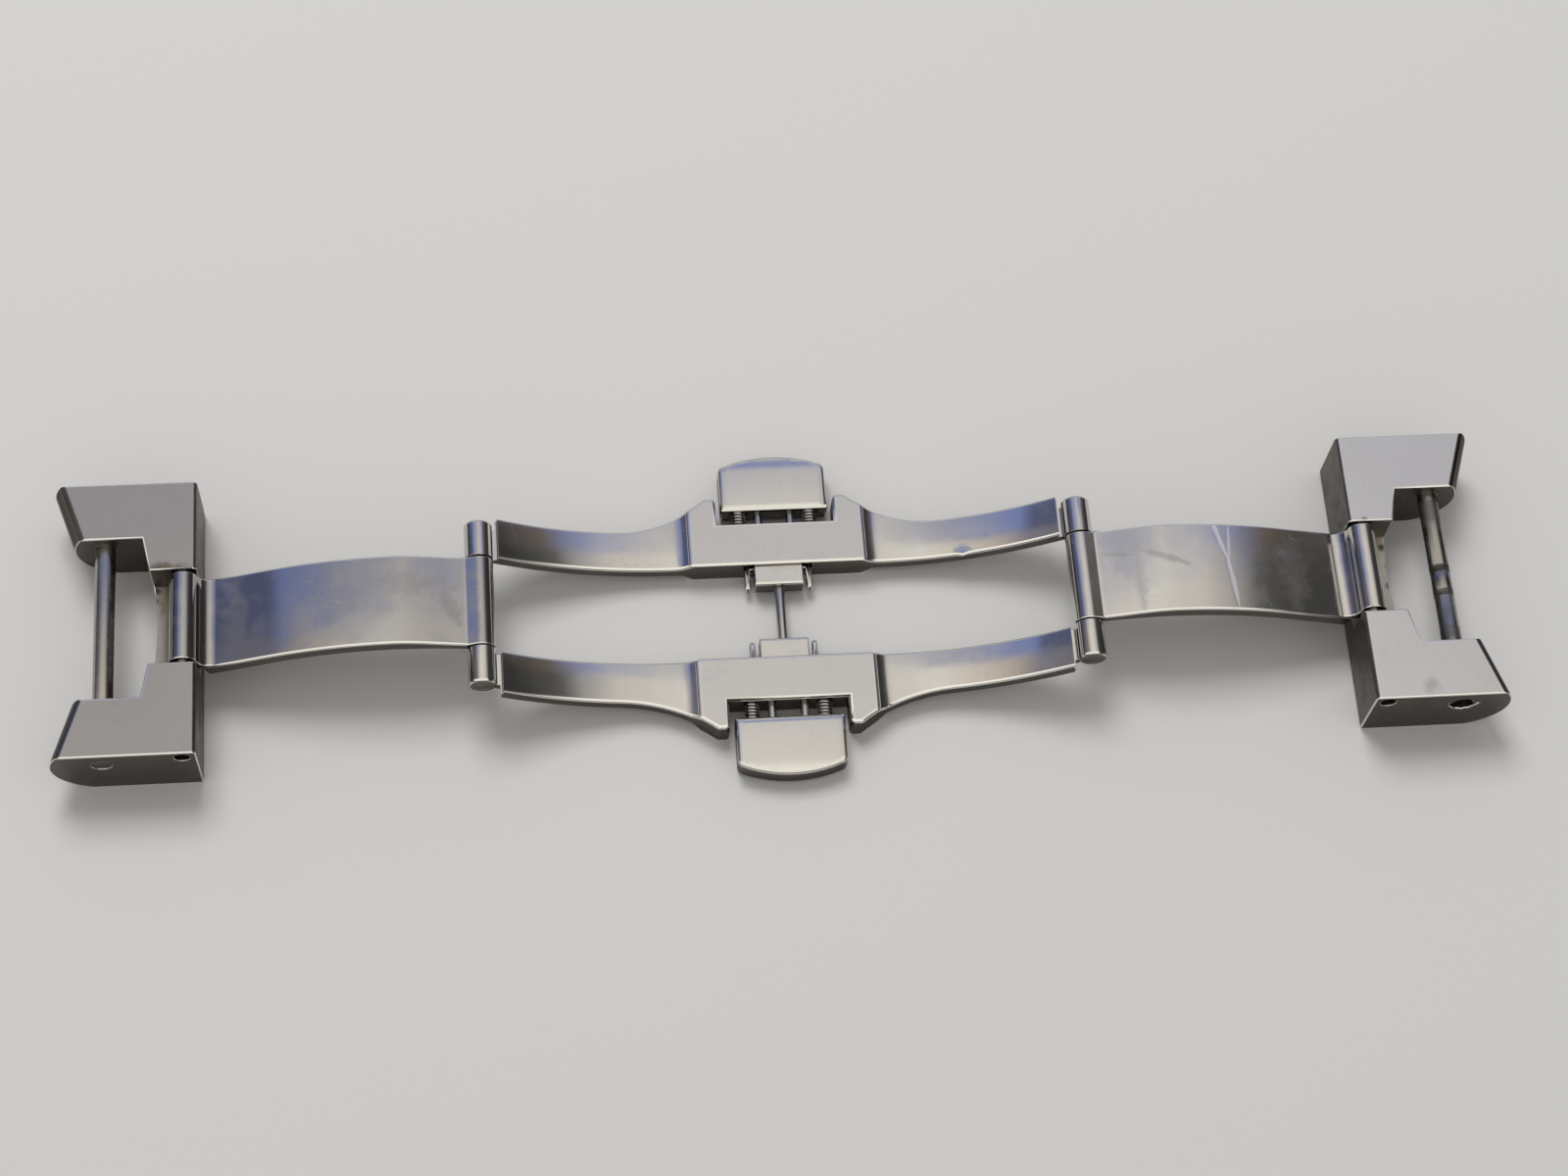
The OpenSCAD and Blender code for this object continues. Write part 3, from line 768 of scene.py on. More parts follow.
def bake(
    mesh: bpy.types.Mesh, kind: str, set_up: Callable[[bpy.types.Modifier], None]
) -> bpy.types.Mesh:
    """Applies a modifier to a mesh.

    Args:
        mesh: the mesh, which is used up.
        kind: the modifier's type.
        set_up: gives the modifier its settings.

    Returns:
        The changed mesh.
    """
    holder = bpy.data.objects.new(mesh.name + "_work", mesh)
    bpy.context.scene.collection.objects.link(holder)
    set_up(holder.modifiers.new("work", kind))
    holder.update_tag()
    graph = bpy.context.evaluated_depsgraph_get()
    made = bpy.data.meshes.new_from_object(holder.evaluated_get(graph))
    bpy.data.objects.remove(holder)
    bpy.data.meshes.remove(mesh)
    return made


def put_in_scene(
    name: str,
    mesh: bpy.types.Mesh,
    node: str,
    slot: str,
    finishes: Sequence[SteelFinish],
) -> bpy.types.Object:
    """Adds a finished piece that stands for a CAD node and rides on its body.

    Args:
        name: the piece's name.
        mesh: its mesh, in millimetres.
        node: the CAD node that it stands for.
        slot: the record's material slot; not used.
        finishes: the finishes that its faces' material numbers mean.

    Returns:
        The piece.
    """
    mesh.transform(Matrix.Scale(MM, 4))
    for number, finish in enumerate(finishes):
        if number == len(mesh.materials):
            mesh.materials.append(None)
        mesh.materials[number] = FINISHES.get(finish)
    mesh.update()
    piece = bpy.data.objects.new(name, mesh)
    bpy.context.scene.collection.objects.link(piece)
    body = frame["nodes"][node]["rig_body"]
    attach(piece, body)
    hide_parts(node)
    LOG.info("%s: %d faces, rides on %s", name, len(mesh.polygons), body)
    return piece


class Workpiece:
    """A merged copy of a CAD node, in millimetres, on which edges and faces are worked."""

    WELD = 0.002
    ON_PLANE = 2e-4
    ON_WALL = 0.004
    WALL_SLACK = 0.06
    WALL_SPAN = 0.98
    WALL_RISE = 0.7
    WALL_GRID = 0.12
    SHARP = math.radians(33)

    def __init__(self, node: str) -> None:
        """Copies and merges the node's mesh.

        Args:
            node: the CAD node's name.
        """
        self.node = node
        mesh = frame["nodes"][node].data.copy()
        mesh.transform(Matrix.Scale(1 / MM, 4))
        drop_normals(mesh)
        self.bm = bmesh.new()
        self.bm.from_mesh(mesh)
        bpy.data.meshes.remove(mesh)
        self._merge()
        self.weights = self.bm.edges.layers.float.new("bevel_weight_edge")
        self.widest = 0.0

    def _merge(self) -> None:
        """Joins the loose triangles and dissolves the edges inside flat faces."""
        bm = self.bm
        bmesh.ops.remove_doubles(bm, verts=bm.verts, dist=self.WELD)
        bmesh.ops.dissolve_degenerate(bm, edges=bm.edges, dist=self.WELD)
        bmesh.ops.dissolve_limit(
            bm, angle_limit=math.radians(0.5), verts=bm.verts, edges=bm.edges
        )

    def cut(
        self, axis: int, places: Iterable[float], wanted: Callable[[Face], bool]
    ) -> None:
        """Adds edges where planes cross some faces.

        Args:
            axis: 0 for planes across X, 1 across Y, 2 across Z.
            places: where the planes are.
            wanted: says whether a face is cut.
        """
        normal = Vector((0, 0, 0))
        normal[axis] = 1
        for place in places:
            faces = [f for f in self.bm.faces if wanted(f)]
            edges = {e for f in faces for e in f.edges}
            verts = {v for f in faces for v in f.verts}
            bmesh.ops.bisect_plane(
                self.bm, geom=[*faces, *edges, *verts], dist=1e-4,
                plane_co=normal * place, plane_no=normal,
            )

    def reface(
        self,
        places: Sequence[float],
        wanted: Callable[[Face], bool],
        flat: float = 12.0,
    ) -> None:
        """Swaps the coarse facets of a curve along X for finer ones between planes.

        Args:
            places: where the planes across X are.
            wanted: says whether a face takes part.
            flat: the most by which two facets of the curve differ, in degrees.
        """
        self.cut(0, places, wanted)
        self.bm.normal_update()
        old = []
        for edge in self.bm.edges:
            one, two = (vert.co for vert in edge.verts)
            faces, middle = edge.link_faces, (one.x + two.x) / 2
            if len(faces) != 2 or abs(one.x - two.x) > 0.5 * edge.calc_length():
                continue
            is_new = any(max(abs(one.x - p), abs(two.x - p)) <= self.ON_PLANE for p in places)
            if is_new or not min(places) < middle < max(places):
                continue
            if all(map(wanted, faces)) and edge.calc_face_angle(0.0) < math.radians(flat):
                old.append(edge)
        bmesh.ops.dissolve_edges(self.bm, edges=old, use_verts=True)
        self.bm.normal_update()

    def move(
        self, wanted: Callable[[Face], bool], place: Callable[[Vector], Vector]
    ) -> None:
        """Moves the vertices of some faces.

        Args:
            wanted: says whether a face's vertices move.
            place: gives a vertex's new place from its old one.
        """
        self.bm.normal_update()
        for vert in {v for f in self.bm.faces if wanted(f) for v in f.verts}:
            vert.co = place(vert.co.copy())
        self.bm.normal_update()

    def round_out(self, x: float, z: float, radius: float) -> None:
        """Adds faces to a coarse round wall along Y and puts them on its true circle.

        Args:
            x: the axis's place.
            z: the axis's height.
            radius: the wall's radius.
        """
        slack = self.WALL_SLACK * radius

        def on_wall(face: Face) -> bool:
            """Whether a face is part of the wall."""
            if abs(face.normal.y) > 0.05:
                return False
            away = [math.hypot(v.co.x - x, v.co.z - z) for v in face.verts]
            return max(away) < radius + self.ON_WALL and min(away) > radius - slack

        def on_circle(point: Vector) -> Vector:
            """The nearest point of the true wall."""
            away = math.hypot(point.x - x, point.z - z)
            if away > radius + self.ON_WALL:
                return point
            share = radius / away
            return Vector((x + (point.x - x) * share, point.y, z + (point.z - z) * share))

        span, rise = self.WALL_SPAN * radius, self.WALL_RISE * radius
        self.cut(0, steps(x - span, x + span, self.WALL_GRID), on_wall)
        self.cut(2, steps(z - rise, z + rise, self.WALL_GRID), on_wall)
        self.move(on_wall, on_circle)

    def paint(self, number: Callable[[Face], int]) -> None:
        """Gives each face the number of its finish."""
        for face in self.bm.faces:
            face.material_index = number(face)
            face.smooth = True

    def round_edges(self, width: Callable[[Edge, float, Vector], float]) -> None:
        """Sets how far each edge is rounded and which edges stay sharp.

        Args:
            width: gives an edge's rounding from the edge, its angle in degrees, which is below
                0 in a hollow, and its middle.
        """
        widths = {}
        for edge in self.bm.edges:
            angle = edge.calc_face_angle_signed(0.0) if len(edge.link_faces) == 2 else 0.0
            middle = (edge.verts[0].co + edge.verts[1].co) / 2
            wanted = width(edge, math.degrees(angle), middle) if angle > 0 else 0.0
            widths[edge] = wanted
            edge.smooth = abs(angle) < self.SHARP and wanted == 0.0
        self.widest = max(widths.values())
        for edge, wanted in widths.items():
            edge[self.weights] = wanted / self.widest

    def finish(
        self,
        edge_number: int,
        segments: int = 3,
        shape: Callable[["Workpiece"], None] | None = None,
    ) -> bpy.types.Mesh:
        """Rounds the edges.

        Args:
            edge_number: the number of the rounded edges' finish.
            segments: how many faces a rounded edge has across.
            shape: shapes the piece further once its edges are round.

        Returns:
            The finished mesh, in millimetres.
        """
        mesh = bpy.data.meshes.new(self.node)
        self.bm.to_mesh(mesh)
        self.bm.free()
        for _ in range(max(edge_number, *(face.material_index for face in mesh.polygons)) + 1):
            mesh.materials.append(None)

        def set_up(bevel: bpy.types.BevelModifier) -> None:
            """Rounds each edge by its own weight."""
            bevel.width, bevel.segments = self.widest, segments
            bevel.limit_method, bevel.material = "WEIGHT", edge_number
            bevel.use_clamp_overlap, bevel.harden_normals = False, True

        made = bake(mesh, "BEVEL", set_up)
        if shape:
            drop_normals(made)
            self.bm = bmesh.new()
            self.bm.from_mesh(made)
            shape(self)
            for edge in self.bm.edges:
                edge.smooth = edge.calc_face_angle(0.0) < self.SHARP
            self.bm.to_mesh(made)
            self.bm.free()
        return made


def nudge(mesh: bpy.types.Mesh, centre: Point, reach: float, shift: Point) -> None:
    """Pushes the vertices round a point, as a knock does.

    Args:
        mesh: the mesh, in millimetres.
        centre: the point.
        reach: how far the knock reaches.
        shift: how far the point itself moves.
    """
    for vert in mesh.vertices:
        share = 1 - (vert.co - Vector(centre)).length / reach
        if share > 0:
            vert.co += smooth_step(share) * Vector(shift)


def turned_mesh(
    name: str, profile: Sequence[tuple[float, float]], x: float, z: float, sides: int = 40
) -> bpy.types.Mesh:
    """A part turned on a lathe, with its axis along Y.

    Args:
        name: the mesh's name.
        profile: places along Y and the radius there. The radius is 0 at both ends.
        x: the axis's place.
        z: the axis's height.
        sides: the number of faces round it.

    Returns:
        The mesh, in millimetres.
    """
    bm = bmesh.new()
    rings = []
    for y, radius in profile:
        turns = [0.0] if radius == 0 else [2 * math.pi * i / sides for i in range(sides)]
        rings.append(
            [bm.verts.new((x + radius * math.cos(a), y, z + radius * math.sin(a))) for a in turns]
        )
    for one, two in zip(rings, rings[1:]):
        for i in range(sides):
            j = (i + 1) % sides
            corners = [one[i % len(one)], one[j % len(one)], two[j % len(two)], two[i % len(two)]]
            bm.faces.new(list(dict.fromkeys(corners)))
    bmesh.ops.recalc_face_normals(bm, faces=bm.faces)
    for face in bm.faces:
        face.smooth = True
    for edge in bm.edges:
        edge.smooth = edge.calc_face_angle(0.0) < math.radians(30)
    mesh = bpy.data.meshes.new(name)
    bm.to_mesh(mesh)
    bm.free()
    return mesh


# ---- the clasp's sub-assemblies ----


@dataclass
class SideRail:
    """A side rail: two knuckles, two crowned strips and the button housing between them."""

    row: Row
    hinge_x: float = LAYOUT.hinge_x
    hinge_h: float = LAYOUT.hinge_h
    knuckle_r: float = LAYOUT.knuckle_r
    knuckle_end: float = 6.0
    strip_low_x: float = 7.2
    strip_low_h: float = 1.8
    strip_r: float = 23.98125
    strip_end_x: float = 19.38
    groove_x: float = 18.9
    rail_y: float = 3.49
    strip_w: float = 2.94
    flare_x: float = 11.433
    flare_r: float = 10.5
    housing_x: float = 6.06
    slope_w: float = 1.1
    housing_h: float = 2.2
    recess_x: float = 4.12
    recess_y: float = 6.67
    crown: float = 0.035
    crown_start: float = 1.6
    slope_grid: float = 0.11
    strip_grid: float = 0.42
    width_grid: float = 0.3
    shortest_edge: float = 0.07
    mouth_round: float = 0.2
    mouth_low_round: float = 0.08
    mouth_side_round: float = 0.03
    slope_round: float = 0.14
    knuckle_round: float = 0.34
    strip_round: float = 0.2
    strip_end_round: float = 0.07
    groove_round: float = 0.04
    prong_round: float = 0.24
    housing_round: float = 0.2
    low_round: float = 0.1

    def outer_y(self, x: float) -> float:
        """The strip's outer edge at a distance from the middle of the clasp."""
        across = self.rail_y + self.strip_w
        away = max(0.0, self.flare_x - x)
        return across + self.flare_r - math.sqrt(self.flare_r**2 - away**2)

    def _on_strip(self, face: Face) -> bool:
        """Whether a face is part of a strip's top or of the slope that leads to it."""
        middle = face.calc_center_median()
        x = abs(middle.x)
        if face.normal.z < FACES_UP or not self.housing_x < x < self.strip_end_x + 0.3:
            return False
        return middle.z > (self.strip_low_h if x < self.groove_x else self._arc(x)) - 0.2

    def _arc(self, x: float) -> float:
        """The height of a strip's top at a distance from the middle of the clasp."""
        return self.strip_low_h + self.strip_r - math.sqrt(
            self.strip_r**2 - (x - self.strip_low_x) ** 2
        )

    def _strip_place(self, point: Vector) -> Vector:
        """Where a point of a strip's top lies on its crowned arc."""
        x, y = abs(point.x), abs(point.y)
        if x > self.strip_end_x + 0.3:
            return point
        arc = self._arc(x)
        left = max(0.0, 1 - (x - self.housing_x) / self.slope_w)
        arc += (self.housing_h - arc) * left * left
        outer = self.outer_y(x)
        if y < outer - 0.02:
            y = self.rail_y + (y - self.rail_y) * (outer - self.rail_y) / self.strip_w
        share = (2 * y - outer - self.rail_y) / (outer - self.rail_y)
        fade = smooth_step((x - self.housing_x) / self.crown_start)
        drop = self.crown * fade * min(1.0, share * share)
        return Vector((point.x, math.copysign(y, point.y), arc - drop))

    def _finish_number(self, face: Face) -> int:
        """0 polished, 1 brushed, 3 painted shade in the housing's recess, 4 sides in painted shade.
        """
        middle = face.calc_center_median()
        x, y = abs(middle.x), abs(middle.y)
        if x < self.housing_x and face.normal.z > 0.99 and middle.z > self.housing_h - 0.05:
            return 1
        # The recess walls and the hidden faces inside the housing are painted near black as shade.
        inside = self.rail_y + 0.01 < y < self.recess_y - 0.01 and abs(face.normal.z) < 0.999
        if x < self.recess_x and inside:
            return 3
        buried = 0.3 < middle.z < self.housing_h - 0.1 and y < self.recess_y - 0.01
        if x < self.recess_x and buried and y > self.rail_y + 0.01:
            return 3
        # Knuckle ends, sides and under faces take the dark side finish as painted shade.
        if x > self.strip_end_x + 0.2:
            return 4 if abs(face.normal.y) > 0.8 else 0
        return 4 if face.normal.z < 0.3 else 0

    def _edge_width(self, edge: Edge, angle: float, middle: Vector) -> float:
        """How far an edge is rounded."""
        x, y = abs(middle.x), abs(middle.y)
        across = edge.verts[0].co - edge.verts[1].co
        is_across = abs(across.y) > 0.95 * across.length
        if x < self.recess_x - SLACK and self.rail_y - SLACK < y < self.recess_y + SLACK:
            on_face = abs(y - self.rail_y) < SLACK or abs(y - self.recess_y) < SLACK
            if on_face and (middle.z < SLACK or middle.z > self.housing_h - SLACK):
                return self.mouth_low_round if middle.z < 1 else self.mouth_round
            return self.mouth_side_round if on_face and angle > 60 else 0.0
        if is_across and abs(x - self.housing_x) < 2 * SLACK and angle > 15 and middle.z > 1:
            return self.slope_round
        if angle < CORNER_DEG:
            return 0.0
        away = math.hypot(x - self.hinge_x, middle.z - self.hinge_h)
        if abs(away - self.knuckle_r) < 3 * SLACK and y > self.knuckle_end - 0.05:
            return self.knuckle_round
        if x > self.strip_end_x - 0.05:
            return self.groove_round
        if x > self.housing_x + SLACK:
            return self.strip_round if x < self.strip_end_x - 0.5 else self.strip_end_round
        if middle.z > 1:
            return self.prong_round if y > self.rail_y + 3.5 else self.housing_round
        return self.low_round

    def build(self) -> None:
        """Makes the rail."""
        work = Workpiece(f"{self.row.label}_side_rail")
        foot = self.housing_x + self.slope_w
        lengths = steps(self.housing_x, foot, self.slope_grid)[1:-1]
        lengths += steps(foot, self.strip_end_x - 0.3, self.strip_grid)
        for hand in Hand:
            work.reface([hand.value * x for x in lengths], lambda face: True)
        short = [
            edge for edge in work.bm.edges
            if edge.calc_length() < self.shortest_edge
            and foot < abs(edge.verts[0].co.x) < self.strip_end_x - 0.4
        ]
        bmesh.ops.collapse(work.bm, edges=short)
        margin = self.width_grid
        widths = steps(self.rail_y + margin, self.rail_y + self.strip_w - margin, margin)
        work.cut(1, [self.row.value * y for y in widths], self._on_strip)
        work.move(self._on_strip, self._strip_place)
        for hand in Hand:
            work.round_out(hand.value * self.hinge_x, self.hinge_h, self.knuckle_r)
        work.paint(self._finish_number)
        work.round_edges(self._edge_width)
        mesh = work.finish(2, 4)
        # The knuckles' rounded rims drop the lighter worn-edge highlight: those facing along Y take
        # the dark side finish as painted shade, the rest plain polish.
        for face in mesh.polygons:
            if abs(face.center.x) > self.strip_end_x + 0.2 and face.material_index == 2:
                face.material_index = 4 if abs(face.normal.y) > 0.5 else 0
        if self.row is Row.FAR:
            nudge(mesh, (13.0, self.rail_y, 2.45), 0.45, (0.0, -0.2, 0.12))
        put_in_scene(
            f"{self.row.label}_rail_steel", mesh, work.node, "polished_steel",
            [FINISHES.rail_polish, FINISHES.housing_brushed, FINISHES.worn_edge, FINISHES.bored,
             FINISHES.rail_side],
        )


@dataclass
class FoldingArm:
    """An arm: a crowned curved plate with a knuckle at one end and a barrel at the other."""

    hand: Hand
    hinge_x: float = LAYOUT.hinge_x
    hinge_h: float = LAYOUT.hinge_h
    hinge_bore: float = 0.56
    barrel_x: float = LAYOUT.barrel_x
    barrel_h: float = LAYOUT.barrel_h
    barrel_bore: float = 0.6
    barrel_r: float = 0.95
    fold_angle: float = 161.665
    half_width: float = 3.25
    arc_r: float = 27.6
    folded_centre: Place = (7.2, 27.95)
    folded_neck_x: float = 3.42125
    neck_r: float = 0.9
    knuckle_r: float = LAYOUT.knuckle_r
    folded_h: float = 0.35
    crown: float = 0.02
    top_away: float = 0.104
    round_end: float = 0.267
    crease: float = 0.95
    # The width of the painted highlight line before the crease.
    worn_strip: float = 0.06
    grid_end: float = 2.4
    grid: float = 0.42
    width_grid: float = 0.4
    knuckle_grid: float = 0.07
    foot_grid: float = 0.18
    crown_start: float = 1.5
    crown_end: float = 1.2
    dip_length: float = 5.0
    bore_round: float = 0.04
    end_round: float = 0.08
    plate_round: float = 0.16

    def _opened(self, x: float, z: float) -> Vector:
        """Where a point of the folded arm lies when the clasp is open."""
        turn = math.radians(-self.fold_angle)
        dx, dz = x - self.hinge_x, z - self.hinge_h
        return Vector((
            self.hinge_x + dx * math.cos(turn) + dz * math.sin(turn),
            self.hinge_h - dx * math.sin(turn) + dz * math.cos(turn),
        ))

    def __post_init__(self) -> None:
        """Works out the open plate's arc and flat."""
        self.centre = self._opened(*self.folded_centre)
        self.flat_start = self._opened(self.folded_centre[0], self.folded_h)
        self.flat_end = self._opened(self.folded_neck_x, self.folded_h)
        self.hollow = self._opened(self.folded_neck_x, self.folded_h - self.neck_r)

    def _plate_height(self, x: float) -> float:
        """The height of the plate's top face over a distance from the middle of the clasp."""
        if x < self.flat_start.x:
            return self.centre.y + math.sqrt(self.arc_r**2 - (x - self.centre.x) ** 2)
        slope = (self.flat_end.y - self.flat_start.y) / (self.flat_end.x - self.flat_start.x)
        return self.flat_start.y + slope * (x - self.flat_start.x)

    def _on_plate(self, face: Face) -> bool:
        """Whether a face is part of the plate's top."""
        middle = face.calc_center_median()
        x = abs(middle.x)
        if face.normal.z < FACES_UP or not self.hinge_x + 0.1 < x < self.flat_end.x - 0.02:
            return False
        return abs(middle.z - self._plate_height(x)) < 0.09

    def _plate_place(self, point: Vector) -> Vector:
        """Where a point of the plate's top lies on its crowned face."""
        x, y = abs(point.x), point.y
        if abs(point.z - self._plate_height(x)) > 0.06 or x > self.flat_end.x - 0.01:
            return point
        away = x - self.hinge_x
        if away < self.round_end:
            height = self.hinge_h + math.sqrt(self.knuckle_r**2 - away**2)
            return Vector((point.x, y, height))
        round_h = math.sqrt(self.knuckle_r**2 - self.round_end**2)
        slope = self.round_end / round_h
        if away < self.crease + 1e-4:
            height = self.hinge_h + round_h - slope * (away - self.round_end)
            return Vector((point.x, y, height))
        beyond = away - self.crease
        foot = self.hinge_h + round_h - slope * (self.crease - self.round_end)
        dip = self._plate_height(self.hinge_x + self.crease) - foot
        dip *= 1 - smooth_step(beyond / self.dip_length)
        fade = smooth_step(beyond / self.crown_start)
        fade *= smooth_step((self.flat_end.x - x) / self.crown_end)
        share = y / self.half_width
        height = self._plate_height(x) - dip - self.crown * fade * share * share
        return Vector((point.x, y, height))

    def _in_bore(self, middle: Vector) -> bool:
        """Whether a point is in the bore of the hinge pin or of the barrel pin."""
        bores = (
            (self.hinge_x, self.hinge_h, self.hinge_bore),
            (self.barrel_x, self.barrel_h, self.barrel_bore),
        )
        return any(math.hypot(abs(middle.x) - x, middle.z - h) < r for x, h, r in bores)

    def _finish_number(self, face: Face) -> int:
        """0 polished, 1 painted highlight line before the crease, 2 painted shade in the bores, 3
        sides and underside in painted shade.
        """
        middle = face.calc_center_median()
        if self._in_bore(middle) and abs(face.normal.y) < 0.5:
            return 2
        off = abs(middle.x) - self.hinge_x - self.crease
        on_top = middle.z > self.hinge_h + 0.5 and face.normal.z > 0.5
        # A thin strip before the crease is painted as a highlight line; side and under faces take the
        # dark side finish as painted shade.
        if -self.worn_strip - SLACK < off < 0 and on_top:
            return 1
        return 3 if abs(face.normal.y) > 0.8 or face.normal.z < -0.7 else 0

    def _edge_width(self, edge: Edge, angle: float, middle: Vector) -> float:
        """How far an edge is rounded."""
        if angle < CORNER_DEG:
            return 0.0
        if self._in_bore(middle):
            return self.bore_round
        on_plate = self.hinge_x + 1 <= abs(middle.x) <= self.flat_end.x
        return self.plate_round if on_plate else self.end_round

    def build(self) -> None:
        """Makes the arm."""
        work = Workpiece(f"{self.hand.label}_arm")
        knuckle, start = self.hinge_x + self.crease, self.hinge_x + self.grid_end
        lengths = steps(start, self.flat_end.x - 0.05, self.grid)
        work.reface([self.hand.value * x for x in lengths], lambda face: True)
        close = steps(self.hinge_x + self.top_away, knuckle - self.worn_strip, self.knuckle_grid)
        close += steps(knuckle, start, self.foot_grid)
        work.reface([self.hand.value * x for x in close[1:-1]], self._on_plate)
        widths = steps(-self.half_width, self.half_width, self.width_grid)[1:-1]
        work.cut(1, widths, self._on_plate)
        work.move(self._on_plate, self._plate_place)
        for x, h, radius in (
            (self.hinge_x, self.hinge_h, self.knuckle_r),
            (self.barrel_x, self.barrel_h, self.barrel_r),
            (self.hollow.x, self.hollow.y, self.neck_r),
        ):
            work.round_out(self.hand.value * x, h, radius)
        work.paint(self._finish_number)
        work.round_edges(self._edge_width)
        put_in_scene(
            f"{self.hand.label}_arm_steel", work.finish(1, 4), work.node, "polished_steel",
            [FINISHES.left_arm_polish if self.hand is Hand.LEFT else FINISHES.right_arm_polish,
             FINISHES.worn_edge, FINISHES.bored, FINISHES.rail_side],
        )


@dataclass
class EndLink:
    """An end link: satin wrist face, brushed sides and polished lug ends, both darkened as painted
    shade, and a dull web.
    """

    hand: Hand
    half_width: float = 10.0
    thickness: float = 5.4
    barrel_x: float = LAYOUT.barrel_x
    barrel_h: float = LAYOUT.barrel_h
    barrel_pin_r: float = LAYOUT.barrel_pin_r
    link_pin_x: float = LAYOUT.link_pin_x
    link_pin_h: float = LAYOUT.link_pin_h
    link_pin_r: float = LAYOUT.link_pin_r
    pocket_half: float = 3.4
    notch_half: float = 5.83
    notch_x: float = 43.3726
    mark_r: float = 0.98
    mark_inner_r: float = 0.5
    mark_ragged: float = 0.1
    mark_depth: float = 0.5
    mark_reach: float = 1.25
    mark_seed: int = 7
    bore_round: float = 0.04
    notch_round: float = 0.05
    low_round: float = 0.1
    lug_end_round: float = 0.26
    top_round: float = 0.12

    def _bore(self, middle: Vector) -> bool:
        """Whether a point is on the wall or the mouth of a pin's bore."""
        x = abs(middle.x)
        barrel = math.hypot(x - self.barrel_x, middle.z - self.barrel_h)
        link = math.hypot(x - self.link_pin_x, middle.z - self.link_pin_h)
        return barrel < self.barrel_pin_r + SLACK or link < self.link_pin_r + SLACK

    def _finish_number(self, face: Face) -> int:
        """0 satin, 1 brushed sides in painted shade, 2 polished lug ends in painted shade, 3 dull, 5
        painted shade in the bores and the punch mark, 6 painted shade on the pocket and notch walls.
        """
        middle, normal = face.calc_center_median(), face.normal
        x, y = abs(middle.x), abs(middle.y)
        if self._bore(middle) and abs(normal.y) < 0.9:
            return 5
        away = math.hypot(x - self.link_pin_x, middle.z - self.link_pin_h)
        if away < self.mark_reach and 0.02 < self.half_width - y < self.mark_depth + 0.1:
            return 5
        in_pocket = y < self.pocket_half + SLACK and middle.z < self.thickness - 0.1
        in_notch = y < self.notch_half + SLACK and 0.1 < middle.z < self.thickness - 0.05
        # The walls of the pocket and the notch are darkened as painted shade; their floors keep the
        # dull web's dirt.
        if in_pocket or in_notch:
            return 3 if normal.z > 0.5 else 6
        if normal.z > 0.95:
            return 0
        # The lug ends and the sides below take dark finishes as painted shade.
        if x > self.notch_x + 2.0 and abs(normal.y) < 0.5 and normal.z > -0.9:
            return 2
        return 1

    def _edge_width(self, edge: Edge, angle: float, middle: Vector) -> float:
        """How far an edge is rounded."""
        if angle < CORNER_DEG:
            return 0.0
        x, y = abs(middle.x), abs(middle.y)
        if self._bore(middle):
            return self.bore_round
        if middle.z < self.thickness - 0.1:
            return self.notch_round if y < self.notch_half + 0.1 else self.low_round
        along = edge.verts[0].co - edge.verts[1].co
        lug_end = x > self.notch_x + 2.5 and abs(along.y) > 0.8 * along.length
        return self.lug_end_round if lug_end else self.top_round

    def _damage(self, work: Workpiece) -> None:
        """Cuts the ragged crescent beside the near link-pin hole, as a forced punch leaves it.

        Args:
            work: the link that is cut.
        """
        chance = random.Random(self.mark_seed)
        turns = [math.radians(a) for a in range(176, 372, 14)]
        outline = []
        for turn in turns:
            radius = self.mark_r + chance.uniform(-self.mark_ragged, self.mark_ragged)
            outline.append((radius * math.cos(turn) + 0.1, radius * math.sin(turn)))
        inner = self.mark_inner_r
        outline += [(inner * math.cos(t), inner * math.sin(t)) for t in reversed(turns)]
        bm = bmesh.new()
        rims = [
            [bm.verts.new((self.link_pin_x + dx, y, self.link_pin_h + dz)) for dx, dz in outline]
            for y in (-self.half_width - 0.3, -self.half_width + self.mark_depth)
        ]
        bm.faces.new(rims[0])
        bm.faces.new(list(reversed(rims[1])))
        count = len(outline)
        for i in range(count):
            j = (i + 1) % count
            bm.faces.new([rims[0][j], rims[0][i], rims[1][i], rims[1][j]])
        bmesh.ops.recalc_face_normals(bm, faces=bm.faces)
        tool_mesh = bpy.data.meshes.new("punch_mark")
        bm.to_mesh(tool_mesh)
        bm.free()
        tool = bpy.data.objects.new("punch_mark", tool_mesh)
        bpy.context.scene.collection.objects.link(tool)
        mesh = bpy.data.meshes.new("punched")
        work.bm.to_mesh(mesh)

        def set_up(cut: bpy.types.BooleanModifier) -> None:
            """Takes the tool away from the link."""
            cut.operation, cut.solver, cut.object = "DIFFERENCE", "EXACT", tool

        made = bake(mesh, "BOOLEAN", set_up)
        bpy.data.objects.remove(tool)
        work.bm.clear()
        work.bm.from_mesh(made)
        work.weights = work.bm.edges.layers.float.get("bevel_weight_edge")
        work.bm.normal_update()
        for scrap in (made, tool_mesh):
            bpy.data.meshes.remove(scrap)

    def build(self) -> None:
        """Makes the link."""
        work = Workpiece(f"{self.hand.label}_end_link")
        if self.hand is Hand.RIGHT:
            self._damage(work)
        work.paint(self._finish_number)
        work.round_edges(self._edge_width)
        mesh = work.finish(4, 4)
